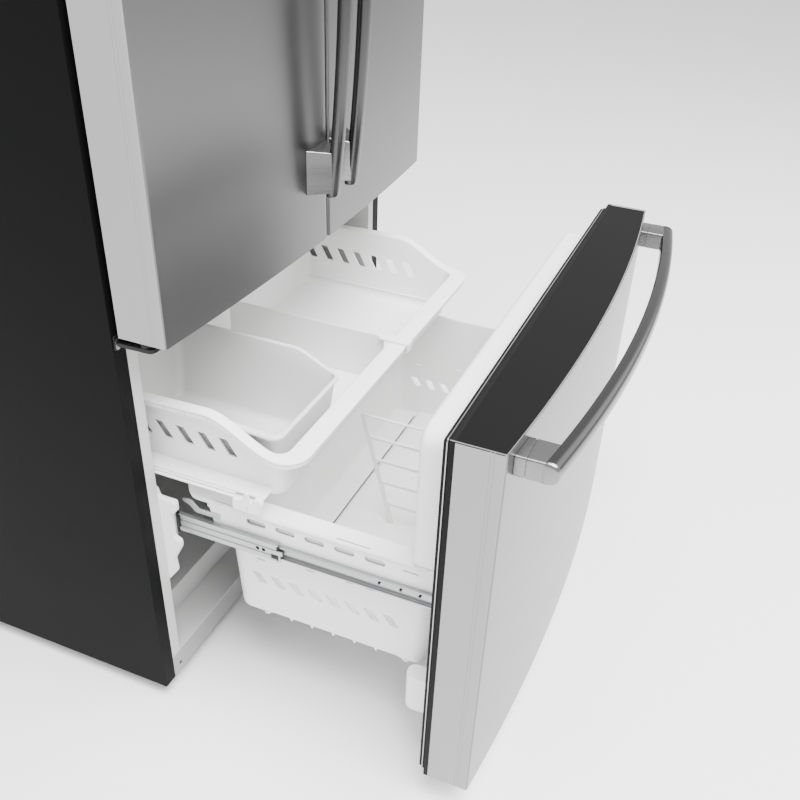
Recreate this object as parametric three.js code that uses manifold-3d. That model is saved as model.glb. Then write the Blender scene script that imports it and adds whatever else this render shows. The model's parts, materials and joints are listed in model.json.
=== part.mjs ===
// A refrigerator with two hinged upper doors over a bottom freezer drawer, which is drawn right out.
// Millimetres, +Z up, the doors face -Y. Until the last step, y = 0 is the front plane of the cabinet,
// x = 0 its middle and z = 0 the floor. Pieces of the left side are mirrored to make the right side.
import * as THREE from "three";
import { mergeVertices } from "three/addons/utils/BufferGeometryUtils.js";
import Module from "manifold-3d";

const wasm = await Module();
wasm.setup();

// Driving dimensions: the cabinet
const WIDTH = 908;
const DEPTH = 743; // of the cabinet, without its doors
const UNDERSIDE = 28;
const CABINET_TOP = 1753;
const STEEL = 1.2;
const FLANGE = 27; // steel front flange beside the openings
const SIDE_WALL = 50; // steel, foam and liner together
const LINER = 3;
const CLEAR = 0.3; // between pieces that touch
const FREEZER_FLOOR = 79; // at the front; behind the sill it is higher
const FREEZER_SILL_DEPTH = 62;
const FREEZER_SILL_STEP = 55;
const FREEZER_CEILING = 702;
const FREEZER_BACK = DEPTH - 103;
const FREEZER_STEP_BACK = DEPTH - 303; // the floor ends here, in front of the machine room
const CROSS_RAIL = 98; // between the two compartments
const FRESH_FLOOR = FREEZER_CEILING + CROSS_RAIL;
const FRESH_BACK = DEPTH - 71;
const MACHINE_FRONT = FREEZER_STEP_BACK + 55;
const PAN_STEEL = 1.5;
const RAIL_DEPTH = 30; // of the toe rail

// Doors
const DOOR_GAP = 12; // closed by the gaskets
const DOOR_REVEAL = 1.5; // how far each door stays inside the cabinet's width
const CENTRE_GAP = 6; // between the two upper doors
const UPPER_DOOR_BOTTOM = FRESH_FLOOR - 45;
const UPPER_DOOR_TOP = CABINET_TOP + 12;
const UPPER_DOOR_EDGE = 77.3; // thickness at the outer edge
const UPPER_CROWN = 17.5;
const FREEZER_DOOR_BOTTOM = 61;
const FREEZER_DOOR_TOP = UPPER_DOOR_BOTTOM - 20;
const FREEZER_DOOR_EDGE = 75;
const FREEZER_CROWN = 26.7;
const DOOR_STEEL = 1;
const DOOR_ROUND = 4;
const CAP_THICKNESS = 7.2;
const CAP_DROP = 1.5; // the cap lies below the edge of the skin, and this far inside it
const GASKET_WIDTH = 22;
const GASKET_BASE = 4;
const GASKET_RIB = 5;
const DYKE_DEPTH = 46; // how far a door liner's raised ring reaches into the compartment
const DYKE_WALL = 24;
const DYKE_CLEAR = 10; // from the ring to the side wall of the liner
const FREEZER_DYKE_DEPTH = 64;
const FREEZER_DYKE_WALL = 30;
const DYKE_ROUND = 22;

// Door hinges and the flap between the doors
const HINGE_INSET = 14; // pin to the side of the cabinet
const HINGE_FORWARD = 50; // pin in front of the cabinet
const PIN_RADIUS = 6;
const HINGE_COVER_HEIGHT = 13;
const HINGE_WIDTH = 70;
const FLAP_THICKNESS = 15;
const FLAP_WIDTH = 72;
const FLAP_PIVOT_X = -36;
const FLAP_PIVOT_Y = 11;

// Handles
const BAR_WIDTH = 28;
const BAR_THICKNESS = 18;
const BAR_BOW = 24;
const BAR_STANDOFF = 18.5;
const BAR_OFF_CENTRE = 34;
const BAR_END_INSET = 89;
const FOOT_LENGTH = 72;
const FOOT_WIDTH = 64;
const FREEZER_BAR_HEIGHT = 34;
const FREEZER_BAR_THICKNESS = 23;
const FREEZER_BAR_BOW = 37;
const FREEZER_BAR_STANDOFF = 36;
const FREEZER_BAR_TOP_INSET = 14;
const FREEZER_BAR_END_INSET = 24;
const FREEZER_FOOT_WIDTH = 50;
const FOOT_SEAM = 1.2;

// Freezer drawer, its slides and baskets
const DRAWER_TRAVEL = 490; // drawn out as it stands here
const BRACKET_THICKNESS = 10.7;
const BRACKET_NOSE = 30; // how far the bracket stands out of the cabinet
const SLIDE_CENTRE = FREEZER_CEILING - 321;
const BRACKET_TOP = SLIDE_CENTRE + 67;
const FREEZER_STEP_TOP = SLIDE_CENTRE - 35;
const MACHINE_TOP = FREEZER_STEP_TOP - 34;
const SLIDE_HEIGHT = 44;
const SLIDE_DEPTH = 12.4;
const SLIDE_STEEL = 1.2;
const SLIDE_LENGTH = 500;
const MIDDLE_LENGTH = 450;
const SLIDE_START = -10; // the outer member ends this far in front of the cabinet
const SLIDE_STEP = 4.4; // each member is this much smaller than the one it runs in, at top and bottom
const FRAME_STEEL = 3;
const FRAME_TOP = SLIDE_CENTRE + 69.7;
const FRAME_BOTTOM = SLIDE_CENTRE + 9;
const FRAME_LEDGE = 16;
const FRAME_SHOULDER = 14; // height of the slope between a side's web and its ledge
const FRAME_END_SLOPE = 12;
const OVAL_PITCH = 52;
const OVAL_COUNT = 5;
const OVAL_HALF = 16;
const BASKET_WALL = 3;
const LOWER_BASKET_FLOOR = SLIDE_CENTRE - 185;
const LOWER_BASKET_REAR = FREEZER_STEP_BACK - DRAWER_TRAVEL - 40;
const LOWER_BASKET_DRAFT = 10;
const LOWER_BASKET_REAR_DRAFT = 12;
const LOWER_FLANGE_REACH = 57; // behind the rear wall
const SLOT_COUNT = 8;
const SLOT_HEIGHT = 18.6;
const SLOT_WIDTH = 12;
const SLOT_LEAN = 12;
const RIB_COUNT = 5;
const UPPER_TRAVEL = 310;
const UPPER_LENGTH = 373;
const UPPER_FRONT = 85 - UPPER_TRAVEL; // of the basket's wall at its rim
const UPPER_REAR = UPPER_FRONT + UPPER_LENGTH;
const UPPER_DRAFT = 14;
const UPPER_RIM = 12;
const UPPER_FRONT_RIM = 25;
const UPPER_RAIL_TOP = SLIDE_CENTRE + 95;
const UPPER_FLOOR = UPPER_RAIL_TOP - 10;
const UPPER_FRONT_TOP = UPPER_FLOOR + 94;
const UPPER_SIDE_TOP = UPPER_FLOOR + 146;
const UPPER_SLOT_COUNT = 7;
const UPPER_SLOT_PITCH = 39.3;
const UPPER_SLOT_HEIGHT = 28;
const UPPER_SLOT_WIDTH = 12.5;
const UPPER_SLOT_LEAN = 16;
const UPPER_RAIL_LENGTH = 400;
const UPPER_RAIL_FRONT = UPPER_FRONT + 37;
const ICE_BIN_WIDTH = 209;
const BIN_WALL = 2.5;

// Fresh-food compartment
const CRISPER_SHELF = FRESH_FLOOR + 218; // top of the shelf over the crispers
const GLASS_SHELF = FRESH_FLOOR + 535;
const SHELF_THICKNESS = 12;
const SHELF_FRONT = 150;
const SHELF_REAR = FRESH_BACK - 32;
const LEDGE = 12;
const CRISPER_FRONT = 185;
const CRISPER_REAR = FRESH_BACK - 62;
const CRISPER_HEIGHT = 175;
const DOOR_BIN_DEPTH = 92;
const DOOR_BIN_HEIGHT = 90;
const UPPER_BIN_FLOOR = FRESH_FLOOR + 600;
const LOWER_BIN_FLOOR = FRESH_FLOOR + 310;

// Feet, rollers and the machine room
const LEG_Y = 60;
const LEG_FOOT_RADIUS = 18;
const LEG_SCREW_RADIUS = 5;
const ROLLER_Y = DEPTH - 93;
const ROLLER_RADIUS = 12.5;
const ROLLER_WIDTH = 20;
const AXLE_RADIUS = 3;
const COMPRESSOR_Y = DEPTH - 121;
const COMPRESSOR_RADIUS = 78;
const COMPRESSOR_HEIGHT = 170;
const CONDENSER_LENGTH = 270;
const FIN_PITCH = 26;
const FIN_THICKNESS = 4;
const CONDENSER_FAN_RADIUS = 58;
const EVAPORATOR_COVER_Y = FREEZER_BACK - 50;
const EVAPORATOR_FAN_RADIUS = 44;
const EVAPORATOR_FAN_Z = FREEZER_CEILING - 77;

// Sizes that follow
const HALF = WIDTH / 2;
const INNER_HALF = HALF - SIDE_WALL;
const OPENING_HALF = HALF - FLANGE;
const LIP = SIDE_WALL - FLANGE;
const FRESH_CEILING = CABINET_TOP - SIDE_WALL;
const DOOR_HALF = HALF - DOOR_REVEAL;
const LEG_X = HALF - 54;
const ROLLER_X = HALF - 74;
const COMPRESSOR_X = HALF - 239;
const FREEZER_DOOR_BACK = -DRAWER_TRAVEL - DOOR_GAP;
const UPPER_DOOR_BACK = -DOOR_GAP;
const HINGE_X = -HALF + HINGE_INSET;
const SLIDE_X = -INNER_HALF + BRACKET_THICKNESS + 2 * CLEAR; // wall side of the outer member
const FRAME_X = SLIDE_X + SLIDE_DEPTH + CLEAR;
const LOWER_BASKET_HALF = -FRAME_X - 18;
const LOWER_BASKET_FRONT = FREEZER_DOOR_BACK + 36;
const LOWER_BASKET_LENGTH = LOWER_BASKET_REAR - LOWER_BASKET_FRONT;
const SLOT_PITCH = (LOWER_BASKET_LENGTH - 132) / (SLOT_COUNT - 1);
const RIB_PITCH = (LOWER_BASKET_LENGTH - 216) / (RIB_COUNT - 1);
const FRAME_REAR = LOWER_BASKET_REAR + 14;
const UPPER_HALF = INNER_HALF - 30;

// Materials
function finish(color, roughness, metalness) {
  return new THREE.MeshStandardMaterial({ color, roughness, metalness, flatShading: true });
}
const charcoalSteel = finish(0x333335, 0.55, 0.4);
const galvanised = finish(0x9a9da0, 0.45, 0.7);
const stainless = finish(0xb4b5b6, 0.32, 0.9);
const stainlessBar = finish(0xa0a1a2, 0.28, 0.9);
const white = finish(0xf2f2f0, 0.4, 0);
const charcoal = finish(0x3c3c3d, 0.6, 0);
const black = finish(0x121212, 0.7, 0);
const foam = finish(0xd8c88c, 0.9, 0);
const glass = finish(0xcfe0df, 0.1, 0);
const clear = finish(0xdfe8ea, 0.15, 0);
const aluminium = finish(0xb9bcbe, 0.5, 0.8);

// ---- Solids ----

function solid(geometry) {
  const bare = geometry.clone();
  for (const name of ["normal", "uv"]) bare.deleteAttribute(name);
  const merged = mergeVertices(bare, 1e-4);
  const vertProperties = new Float32Array(merged.attributes.position.array);
  return new wasm.Manifold(
    new wasm.Mesh({ numProp: 3, vertProperties, triVerts: new Uint32Array(merged.index.array) }),
  );
}

function join(...solids) {
  return solids.flat().reduce((a, b) => a.add(b));
}

function cut(body, ...tools) {
  return tools.flat().reduce((a, b) => a.subtract(b), body);
}

function box(x0, x1, y0, y1, z0, z1) {
  const g = new THREE.BoxGeometry(x1 - x0, y1 - y0, z1 - z0);
  return solid(g.translate((x0 + x1) / 2, (y0 + y1) / 2, (z0 + z1) / 2));
}

function extruded(shape, length, curveSegments = 4) {
  return new THREE.ExtrudeGeometry(shape, { depth: length, bevelEnabled: false, curveSegments });
}

// A shape drawn in (x, y), standing from z0 to z1.
function prismZ(shape, z0, z1, segments) {
  return solid(extruded(shape, z1 - z0, segments).translate(0, 0, z0));
}

// A shape drawn in (x, z), running from y0 to y1.
function prismY(shape, y0, y1, segments) {
  return solid(extruded(shape, y1 - y0, segments).rotateX(Math.PI / 2).translate(0, y1, 0));
}

// A shape drawn in (y, z), running from x0 to x1.
function prismX(shape, x0, x1, segments) {
  const turn = new THREE.Matrix4().makeBasis(
    new THREE.Vector3(0, 1, 0), new THREE.Vector3(0, 0, 1), new THREE.Vector3(1, 0, 0));
  return solid(extruded(shape, x1 - x0, segments).applyMatrix4(turn).translate(x0, 0, 0));
}

// A closed outline through points, each corner rounded by r where its sides allow it.
function outline(points, r = 0) {
  if (!r) return new THREE.Shape(points.map(([x, y]) => new THREE.Vector2(x, y)));
  const shape = new THREE.Shape();
  points.forEach(([x, y], i) => {
    const [px, py] = points[(i + points.length - 1) % points.length];
    const [nx, ny] = points[(i + 1) % points.length];
    const before = Math.hypot(px - x, py - y), after = Math.hypot(nx - x, ny - y);
    const a = Math.min(r, before / 2.1) / before, b = Math.min(r, after / 2.1) / after;
    const start = [x + (px - x) * a, y + (py - y) * a];
    if (i) shape.lineTo(...start);
    else shape.moveTo(...start);
    shape.quadraticCurveTo(x, y, x + (nx - x) * b, y + (ny - y) * b);
  });
  shape.closePath();
  return shape;
}

function rectangle(x0, x1, y0, y1, r = 0) {
  return outline([[x0, y0], [x1, y0], [x1, y1], [x0, y1]], r);
}

// A solid of revolution about +Z from [radius, z] points that start and end on the axis or close up.
function revolved(points, sides) {
  return solid(new THREE.LatheGeometry(points.map(([r, z]) => new THREE.Vector2(r, z)), sides)
    .rotateX(Math.PI / 2));
}

function rod(radius, z0, z1, sides = 16) {
  return revolved([[0, z0], [radius, z0], [radius, z1], [0, z1]], sides);
}

// Rings of equally many points, skinned in order and closed with a fan at each end.
function loft(rings) {
  const n = rings[0].length;
  const triangles = [];
  rings.slice(1).forEach((_, k) => {
    for (let i = 0; i < n; i++) {
      const a = k * n + i, b = k * n + (i + 1) % n;
      triangles.push([a, b, b + n], [a, b + n, a + n]);
    }
  });
  const last = (rings.length - 1) * n;
  for (let i = 1; i < n - 1; i++) triangles.push([0, i + 1, i], [last, last + i, last + i + 1]);
  const points = rings.flat().map((p) => new THREE.Vector3(...p));
  const volume = triangles.reduce((v, [a, b, c]) =>
    v + points[a].dot(points[b].clone().cross(points[c])), 0);
  const g = new THREE.BufferGeometry().setFromPoints(points);
  g.setIndex(triangles.map((t) => (volume < 0 ? [t[0], t[2], t[1]] : t)).flat());
  return solid(g);
}

// The points of a rounded rectangle at height z, for lofts.
function ringAt(x0, x1, y0, y1, r, z) {
  return rectangle(x0, x1, y0, y1, r).getPoints(3).slice(0, -1).map((p) => [p.x, p.y, z]);
}

// An open tray with drafted walls: outer walls from the floor ring to the rim ring.
function tray(floor, rim, wall, round) {
  const ring = (f, inset, z) => ringAt(f.x0 + inset, f.x1 - inset, f.y0 + inset, f.y1 - inset,
    Math.max(round - inset, 1), z);
  const outside = loft([ring(floor, 0, floor.z), ring(rim, 0, rim.z)]);
  return cut(outside, loft([ring(floor, wall, floor.z + wall), ring(rim, wall, rim.z + 1)]));
}

function geometryOf(body) {
  const mesh = body.getMesh();
  const points = new Float32Array(mesh.numVert * 3);
  for (let i = 0; i < mesh.numVert; i++)
    points.set(mesh.vertProperties.subarray(i * mesh.numProp, i * mesh.numProp + 3), i * 3);
  return new THREE.BufferGeometry()
    .setAttribute("position", new THREE.BufferAttribute(points, 3))
    .setIndex(new THREE.BufferAttribute(mesh.triVerts, 1))
    .toNonIndexed();
}

function add(group, name, body, material) {
  const mesh = new THREE.Mesh(geometryOf(body), material);
  mesh.name = name;
  group.add(mesh);
  return mesh;
}

// The left piece, and its mirror image on the right.
function addPair(group, name, body, material) {
  const left = add(group, name + "_left", body, material);
  const right = new THREE.Mesh(left.geometry, material);
  right.name = name + "_right";
  right.scale.x = -1;
  group.add(right);
}

// ---- Cabinet ----

function cabinetShell() {
  const outside = box(-HALF, HALF, 0, DEPTH, UNDERSIDE, CABINET_TOP);
  const inside = box(-HALF + STEEL, HALF - STEEL, STEEL, DEPTH + 1, UNDERSIDE - 1, CABINET_TOP - STEEL);
  const fresh = box(-OPENING_HALF, OPENING_HALF, -1, STEEL + 1, FRESH_FLOOR - LIP, FRESH_CEILING + LIP);
  const freezer = box(-OPENING_HALF, OPENING_HALF, -1, STEEL + 1, UNDERSIDE - 1, FREEZER_CEILING + LIP);
  return cut(outside, inside, fresh, freezer);
}

function backPanel() {
  const half = HALF - STEEL - CLEAR;
  const sheet = box(-half, half, DEPTH - STEEL, DEPTH, UNDERSIDE, CABINET_TOP - STEEL - CLEAR);
  const vents = [];
  const pitch = 32, rows = 6, length = 150;
  for (let i = 0; i < rows; i++)
    for (const x of [-half / 2, 0, half / 2]) {
      const z = UNDERSIDE + 50 + i * pitch;
      vents.push(box(x - length / 2, x + length / 2, DEPTH - STEEL - 1, DEPTH + 1, z, z + pitch / 3));
    }
  return cut(sheet, vents);
}

function freezerProfile(grow, front) {
  return outline([
    [front, FREEZER_FLOOR - grow],
    [FREEZER_SILL_DEPTH + grow, FREEZER_FLOOR - grow],
    [FREEZER_SILL_DEPTH + grow, FREEZER_FLOOR + FREEZER_SILL_STEP - grow],
    [FREEZER_STEP_BACK + grow, FREEZER_FLOOR + FREEZER_SILL_STEP - grow],
    [FREEZER_STEP_BACK + grow, FREEZER_STEP_TOP - grow],
    [FREEZER_BACK + grow, FREEZER_STEP_TOP - grow],
    [FREEZER_BACK + grow, FREEZER_CEILING + grow],
    [front, FREEZER_CEILING + grow],
  ]);
}

function freshProfile(grow, front) {
  return rectangle(front, FRESH_BACK + grow, FRESH_FLOOR - grow, FRESH_CEILING + grow);
}

// A liner: the profile's tub with a front lip that meets the steel flange.
function liner(profile, lipFloor, lipCeiling, floor, ceiling) {
  const tub = prismX(profile(LINER, CLEAR), -INNER_HALF - LINER, INNER_HALF + LINER);
  const lipHalf = OPENING_HALF - CLEAR;
  const lip = cut(
    prismY(rectangle(-lipHalf, lipHalf, lipFloor, lipCeiling), CLEAR, CLEAR + LINER),
    prismY(rectangle(-INNER_HALF, INNER_HALF, floor, ceiling), -1, LINER + 1));
  return cut(join(tub, lip), prismX(profile(0, -1), -INNER_HALF, INNER_HALF));
}

function freezerLiner() {
  return liner(freezerProfile, FREEZER_FLOOR - LINER, FREEZER_CEILING + LIP - CLEAR,
    FREEZER_FLOOR, FREEZER_CEILING);
}

// The fresh-food liner carries its shelves on moulded ledges.
function freshLiner() {
  const tub = liner(freshProfile, FRESH_FLOOR - LIP + CLEAR, FRESH_CEILING + LIP - CLEAR,
    FRESH_FLOOR, FRESH_CEILING);
  const ledges = [CRISPER_SHELF, GLASS_SHELF].map((top) => {
    const under = top - SHELF_THICKNESS - CLEAR;
    const side = (x, s) => outline([[x, under - 14], [x, under], [x + s * LEDGE, under], [x + s * LEDGE, under - 5]]);
    return [prismY(side(-INNER_HALF - 1, 1), SHELF_FRONT + 4, SHELF_REAR),
      prismY(side(INNER_HALF + 1, -1), SHELF_FRONT + 4, SHELF_REAR)];
  });
  return join(tub, ...ledges.flat());
}

function cabinetFoam() {
  const half = HALF - STEEL - CLEAR;
  const front = 2 * CLEAR + LINER;
  const block = box(-half, half, front, DEPTH - STEEL - CLEAR,
    UNDERSIDE + PAN_STEEL + CLEAR, CABINET_TOP - STEEL - CLEAR);
  const room = LINER + CLEAR;
  return cut(block,
    prismX(freezerProfile(room, -1), -INNER_HALF - room, INNER_HALF + room),
    prismX(freshProfile(room, -1), -INNER_HALF - room, INNER_HALF + room),
    box(-HALF, HALF, MACHINE_FRONT - CLEAR, DEPTH, 0, MACHINE_TOP + CLEAR),
    box(-HALF, HALF, -1, RAIL_DEPTH + 2 * CLEAR, 0, FREEZER_FLOOR - LINER));
}

function toeRail() {
  const half = OPENING_HALF - CLEAR;
  const top = FREEZER_FLOOR - LINER - CLEAR;
  const y0 = CLEAR, y1 = CLEAR + RAIL_DEPTH, t = PAN_STEEL;
  const section = outline([[y0, UNDERSIDE], [y1, UNDERSIDE], [y1, UNDERSIDE + t], [y0 + t, UNDERSIDE + t],
    [y0 + t, top - t], [y1 - t, top - t], [y1 - t, top - 12], [y1, top - 12], [y1, top], [y0, top]]);
  return prismX(section, -half, half);
}

// Bottom plate, machine-room wall and deck in one, with the leg sockets, the roller brackets and the
// post that holds the condenser fan's motor.
function basePan() {
  const half = HALF - STEEL - CLEAR, back = DEPTH - STEEL - CLEAR, t = PAN_STEEL;
  const front = RAIL_DEPTH + 2 * CLEAR;
  const plates = join(
    box(-half, half, front, back, UNDERSIDE, UNDERSIDE + t),
    box(-half, half, MACHINE_FRONT, MACHINE_FRONT + t, UNDERSIDE, MACHINE_TOP),
    box(-half, half, MACHINE_FRONT, back, MACHINE_TOP - t, MACHINE_TOP));
  const sockets = [-LEG_X, LEG_X].map((x) => {
    const tube = rod(LEG_SCREW_RADIUS + 4, UNDERSIDE - 14, UNDERSIDE + t / 2)
      .subtract(rod(LEG_SCREW_RADIUS + CLEAR, UNDERSIDE - 15, UNDERSIDE));
    return tube.translate([x, LEG_Y, 0]);
  });
  const brackets = [-ROLLER_X, ROLLER_X].flatMap((x) => {
    const reach = ROLLER_WIDTH / 2 + 2 * CLEAR;
    const ear = (side) => prismX(outline([[ROLLER_Y - 14, UNDERSIDE + 1], [ROLLER_Y - 6, ROLLER_RADIUS - 6],
      [ROLLER_Y + 6, ROLLER_RADIUS - 6], [ROLLER_Y + 14, UNDERSIDE + 1]]),
    x + side * (reach + 1) - 1, x + side * (reach + 1) + 1);
    const axle = rod(AXLE_RADIUS, -reach - 1, reach + 1, 12).rotate([0, 90, 0])
      .translate([x, ROLLER_Y, ROLLER_RADIUS]);
    return [ear(-1), ear(1), axle];
  });
  const fan = condenserFanPlace();
  const motor = rod(20, 0, 26, 16).rotate([0, -90, 0]).translate([fan.x + 36, fan.y, fan.z]);
  const shaft = rod(AXLE_RADIUS, 0, 36, 12).rotate([0, -90, 0]).translate([fan.x + 18, fan.y, fan.z]);
  const post = box(fan.x + 14, fan.x + 17, fan.y - 30, fan.y + 30, UNDERSIDE, fan.z + 10);
  return join(plates, ...sockets, ...brackets, motor, shaft, post);
}

function condenserFanPlace() {
  return { x: -INNER_HALF + CONDENSER_LENGTH + 52, y: COMPRESSOR_Y, z: UNDERSIDE + 94 };
}

function levellingLeg() {
  const r = LEG_SCREW_RADIUS;
  return revolved([[0, 0], [LEG_FOOT_RADIUS, 0], [LEG_FOOT_RADIUS, 4], [r + 4, 10], [r, 11],
    [r, UNDERSIDE - CLEAR], [0, UNDERSIDE - CLEAR]], 16);
}

function roller() {
  const h = ROLLER_WIDTH / 2, bore = AXLE_RADIUS + CLEAR, r = ROLLER_RADIUS;
  return revolved([[bore, -h], [r - 1, -h], [r, -h + 1], [r, h - 1], [r - 1, h], [bore, h], [bore, -h]], 16);
}

function topHinge() {
  const x0 = -HALF + 2, over = UPPER_DOOR_TOP + CLEAR, top = over + HINGE_COVER_HEIGHT;
  const reach = -HINGE_FORWARD - 28;
  const cover = prismX(outline([[reach, over], [2, over], [2, CABINET_TOP + CLEAR], [105, CABINET_TOP + CLEAR],
    [105, CABINET_TOP + 10], [70, top - 4], [30, top], [reach + 6, top], [reach, top - 5]], 3),
  x0, x0 + HINGE_WIDTH, 2);
  return join(cover, rod(PIN_RADIUS, over - 22, over + 1).translate([HINGE_X, -HINGE_FORWARD, 0]));
}

// A plate on the cross rail, an arm over the freezer drawer, and the pin under the upper door.
function centreHinge() {
  const arm = { bottom: FREEZER_DOOR_TOP + 5, top: FREEZER_DOOR_TOP + 11 };
  const x0 = -HALF + 2;
  const plate = prismY(rectangle(x0, x0 + 52, arm.bottom - 8, arm.top + 8, 4), -3 - CLEAR, -CLEAR, 2);
  const web = prismZ(outline([[x0, -3], [x0 + 46, -3], [x0 + 40, -HINGE_FORWARD - 6],
    [x0 + 24, -HINGE_FORWARD - 16], [x0 + 2, -HINGE_FORWARD - 14]], 8), arm.bottom, arm.top, 2);
  const collar = rod(PIN_RADIUS + 4, arm.top - 1, UPPER_DOOR_BOTTOM - CLEAR);
  const pin = rod(PIN_RADIUS, arm.top, UPPER_DOOR_BOTTOM + 18);
  return join(plate, web, join(collar, pin).translate([HINGE_X, -HINGE_FORWARD, 0]));
}

// ---- Cooling ----

function compressor() {
  const base = UNDERSIDE + PAN_STEEL + CLEAR, r = COMPRESSOR_RADIUS, h = COMPRESSOR_HEIGHT;
  const pot = revolved([[0, base + 14], [r * 0.72, base + 14], [r * 0.94, base + 30], [r, base + 60],
    [r, base + h * 0.55], [r + 3, base + h * 0.56], [r + 3, base + h * 0.6], [r * 0.96, base + h * 0.62],
    [r * 0.86, base + h * 0.85], [r * 0.5, base + h * 0.97], [0, base + h]], 16);
  const plate = prismZ(rectangle(-r - 22, r + 22, -r * 0.6, r * 0.6, 8), base + 10, base + 15);
  const feet = [[-1, -1], [1, -1], [-1, 1], [1, 1]].map(([sx, sy]) =>
    rod(9, base, base + 12, 8).translate([sx * (r + 8), sy * r * 0.42, 0]));
  const stubs = [0.2, 0.55].map((a) => rod(4, base + h * 0.3, base + h * 0.75, 6)
    .translate([r * Math.cos(a + 2.4) * 1.04, r * Math.sin(a + 2.4) * 1.04, 0]));
  const box1 = box(r * 0.8, r + 20, -26, 26, base + 40, base + 95);
  return join(pot, plate, ...feet, ...stubs, box1).translate([COMPRESSOR_X, COMPRESSOR_Y, 0]);
}

// Fins side by side on one spine, running back by depth.
function finBlock(length, height, depth, pitch, thickness) {
  const points = [];
  const spine = 8;
  const count = Math.floor((length - thickness) / pitch);
  for (let i = 0; i <= count; i++) {
    const x = i * pitch;
    points.push([x, height], [x + thickness, height]);
    if (i < count) points.push([x + thickness, spine], [x + pitch, spine]);
  }
  points.push([count * pitch + thickness, 0], [0, 0]);
  return prismY(outline(points.reverse()), 0, depth);
}

function condenser() {
  const base = UNDERSIDE + PAN_STEEL + CLEAR;
  const x0 = -INNER_HALF + 8, y0 = COMPRESSOR_Y - 58, depth = 116, height = 130, lift = 40;
  const block = finBlock(CONDENSER_LENGTH, height, depth, FIN_PITCH, FIN_THICKNESS)
    .translate([x0, y0, base + lift]);
  const wide = Math.floor((CONDENSER_LENGTH - FIN_THICKNESS) / FIN_PITCH) * FIN_PITCH + FIN_THICKNESS;
  const stands = [x0 - 2, x0 + wide - 1].map((x) => box(x, x + 3, y0, y0 + depth, base, base + lift + 14));
  const tube = rod(5, -6, wide + 6, 6).rotate([0, 90, 0])
    .translate([x0, y0 + depth / 2, base + lift + height * 0.6]);
  return join(block, ...stands, tube);
}

function drainPan() {
  const base = UNDERSIDE + PAN_STEEL + CLEAR, x0 = -INNER_HALF + 12, y0 = COMPRESSOR_Y - 62;
  const floor = { x0: x0 + 4, x1: x0 + CONDENSER_LENGTH - 30, y0: y0 + 4, y1: y0 + 120, z: base };
  const rim = { x0, x1: x0 + CONDENSER_LENGTH - 26, y0, y1: y0 + 124, z: base + 26 };
  return tray(floor, rim, 2, 12);
}

// A hub with a blind bore and flat pitched blades, turning about +Z.
function fan(radius, blades, length) {
  const bore = AXLE_RADIUS + CLEAR, hub = radius * 0.3;
  const middle = revolved([[bore, 0], [hub, 0], [hub, length], [bore, length], [bore, 0]], 12);
  const wings = Array.from({ length: blades }, (_, i) => {
    const wide = radius * 0.62;
    const blade = prismZ(outline([[hub - 1.5, -wide * 0.3], [radius, -wide * 0.5], [radius, wide * 0.5],
      [hub - 1.5, wide * 0.3]]), -1, 1).rotate([24, 0, 0]);
    return blade.translate([0, 0, length / 2]).rotate([0, 0, (i * 360) / blades]);
  });
  const tips = revolved([[0, -50], [radius, -50], [radius, 50], [0, 50]], 20);
  return join(middle, ...wings).intersect(tips);
}

function evaporatorCover() {
  const y = EVAPORATOR_COVER_Y, half = INNER_HALF - CLEAR;
  const panel = prismY(rectangle(-half, half, FREEZER_STEP_TOP + CLEAR, FREEZER_CEILING - CLEAR, 10), y, y + LINER);
  const hole = rod(EVAPORATOR_FAN_RADIUS + 4, -20, 20, 16).rotate([90, 0, 0]).translate([0, y, EVAPORATOR_FAN_Z]);
  const slots = [];
  const slotHalf = half / 5;
  for (const x of [-half * 0.6, half * 0.6])
    for (const z of [FREEZER_CEILING - 60, FREEZER_CEILING - 40, FREEZER_STEP_TOP + 24, FREEZER_STEP_TOP + 40])
      slots.push(box(x - slotHalf, x + slotHalf, y - 1, y + LINER + 1, z, z + 8));
  const reach = EVAPORATOR_FAN_RADIUS + 6;
  const spokes = [0, 90].map((a) => box(-reach, reach, 0, LINER, -2.5, 2.5).rotate([0, a, 0])
    .translate([0, y, EVAPORATOR_FAN_Z]));
  const shaft = rod(AXLE_RADIUS, 0, 24, 12).rotate([-90, 0, 0]).translate([0, y, EVAPORATOR_FAN_Z]);
  const boss = rod(11, 0, LINER, 12).rotate([-90, 0, 0]).translate([0, y, EVAPORATOR_FAN_Z]);
  return join(cut(panel, hole, slots), ...spokes, boss, shaft);
}

function evaporator() {
  const length = 2 * INNER_HALF - 180, depth = 36, height = 150;
  const block = finBlock(length, height, depth, FIN_PITCH * 2, FIN_THICKNESS);
  const tube = rod(5, -16, length + 4, 6).rotate([0, 90, 0]).translate([0, depth / 2, height * 0.6]);
  return join(block, tube)
    .translate([-length / 2, FREEZER_BACK - CLEAR - depth, FREEZER_STEP_TOP + CLEAR]);
}

// ---- Fresh-food fittings ----

function shelf(top, lip) {
  const half = INNER_HALF - CLEAR, bottom = top - SHELF_THICKNESS;
  const plate = box(-half, half, SHELF_FRONT, SHELF_REAR, bottom, top);
  const recess = box(-half + 14, half - 14, SHELF_FRONT + 14, SHELF_REAR - 14, top - 3, top + 1);
  const under = box(-half + LEDGE + 6, half - LEDGE - 6, SHELF_FRONT + 10, SHELF_REAR - 10, bottom - 1, top - 7);
  const trim = prismX(outline([[SHELF_FRONT - 6, bottom - lip], [SHELF_FRONT + 1, bottom - lip],
    [SHELF_FRONT + 1, top], [SHELF_FRONT - 6, top - 3]]), -half, half);
  return join(cut(plate, recess, under), trim);
}

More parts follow.
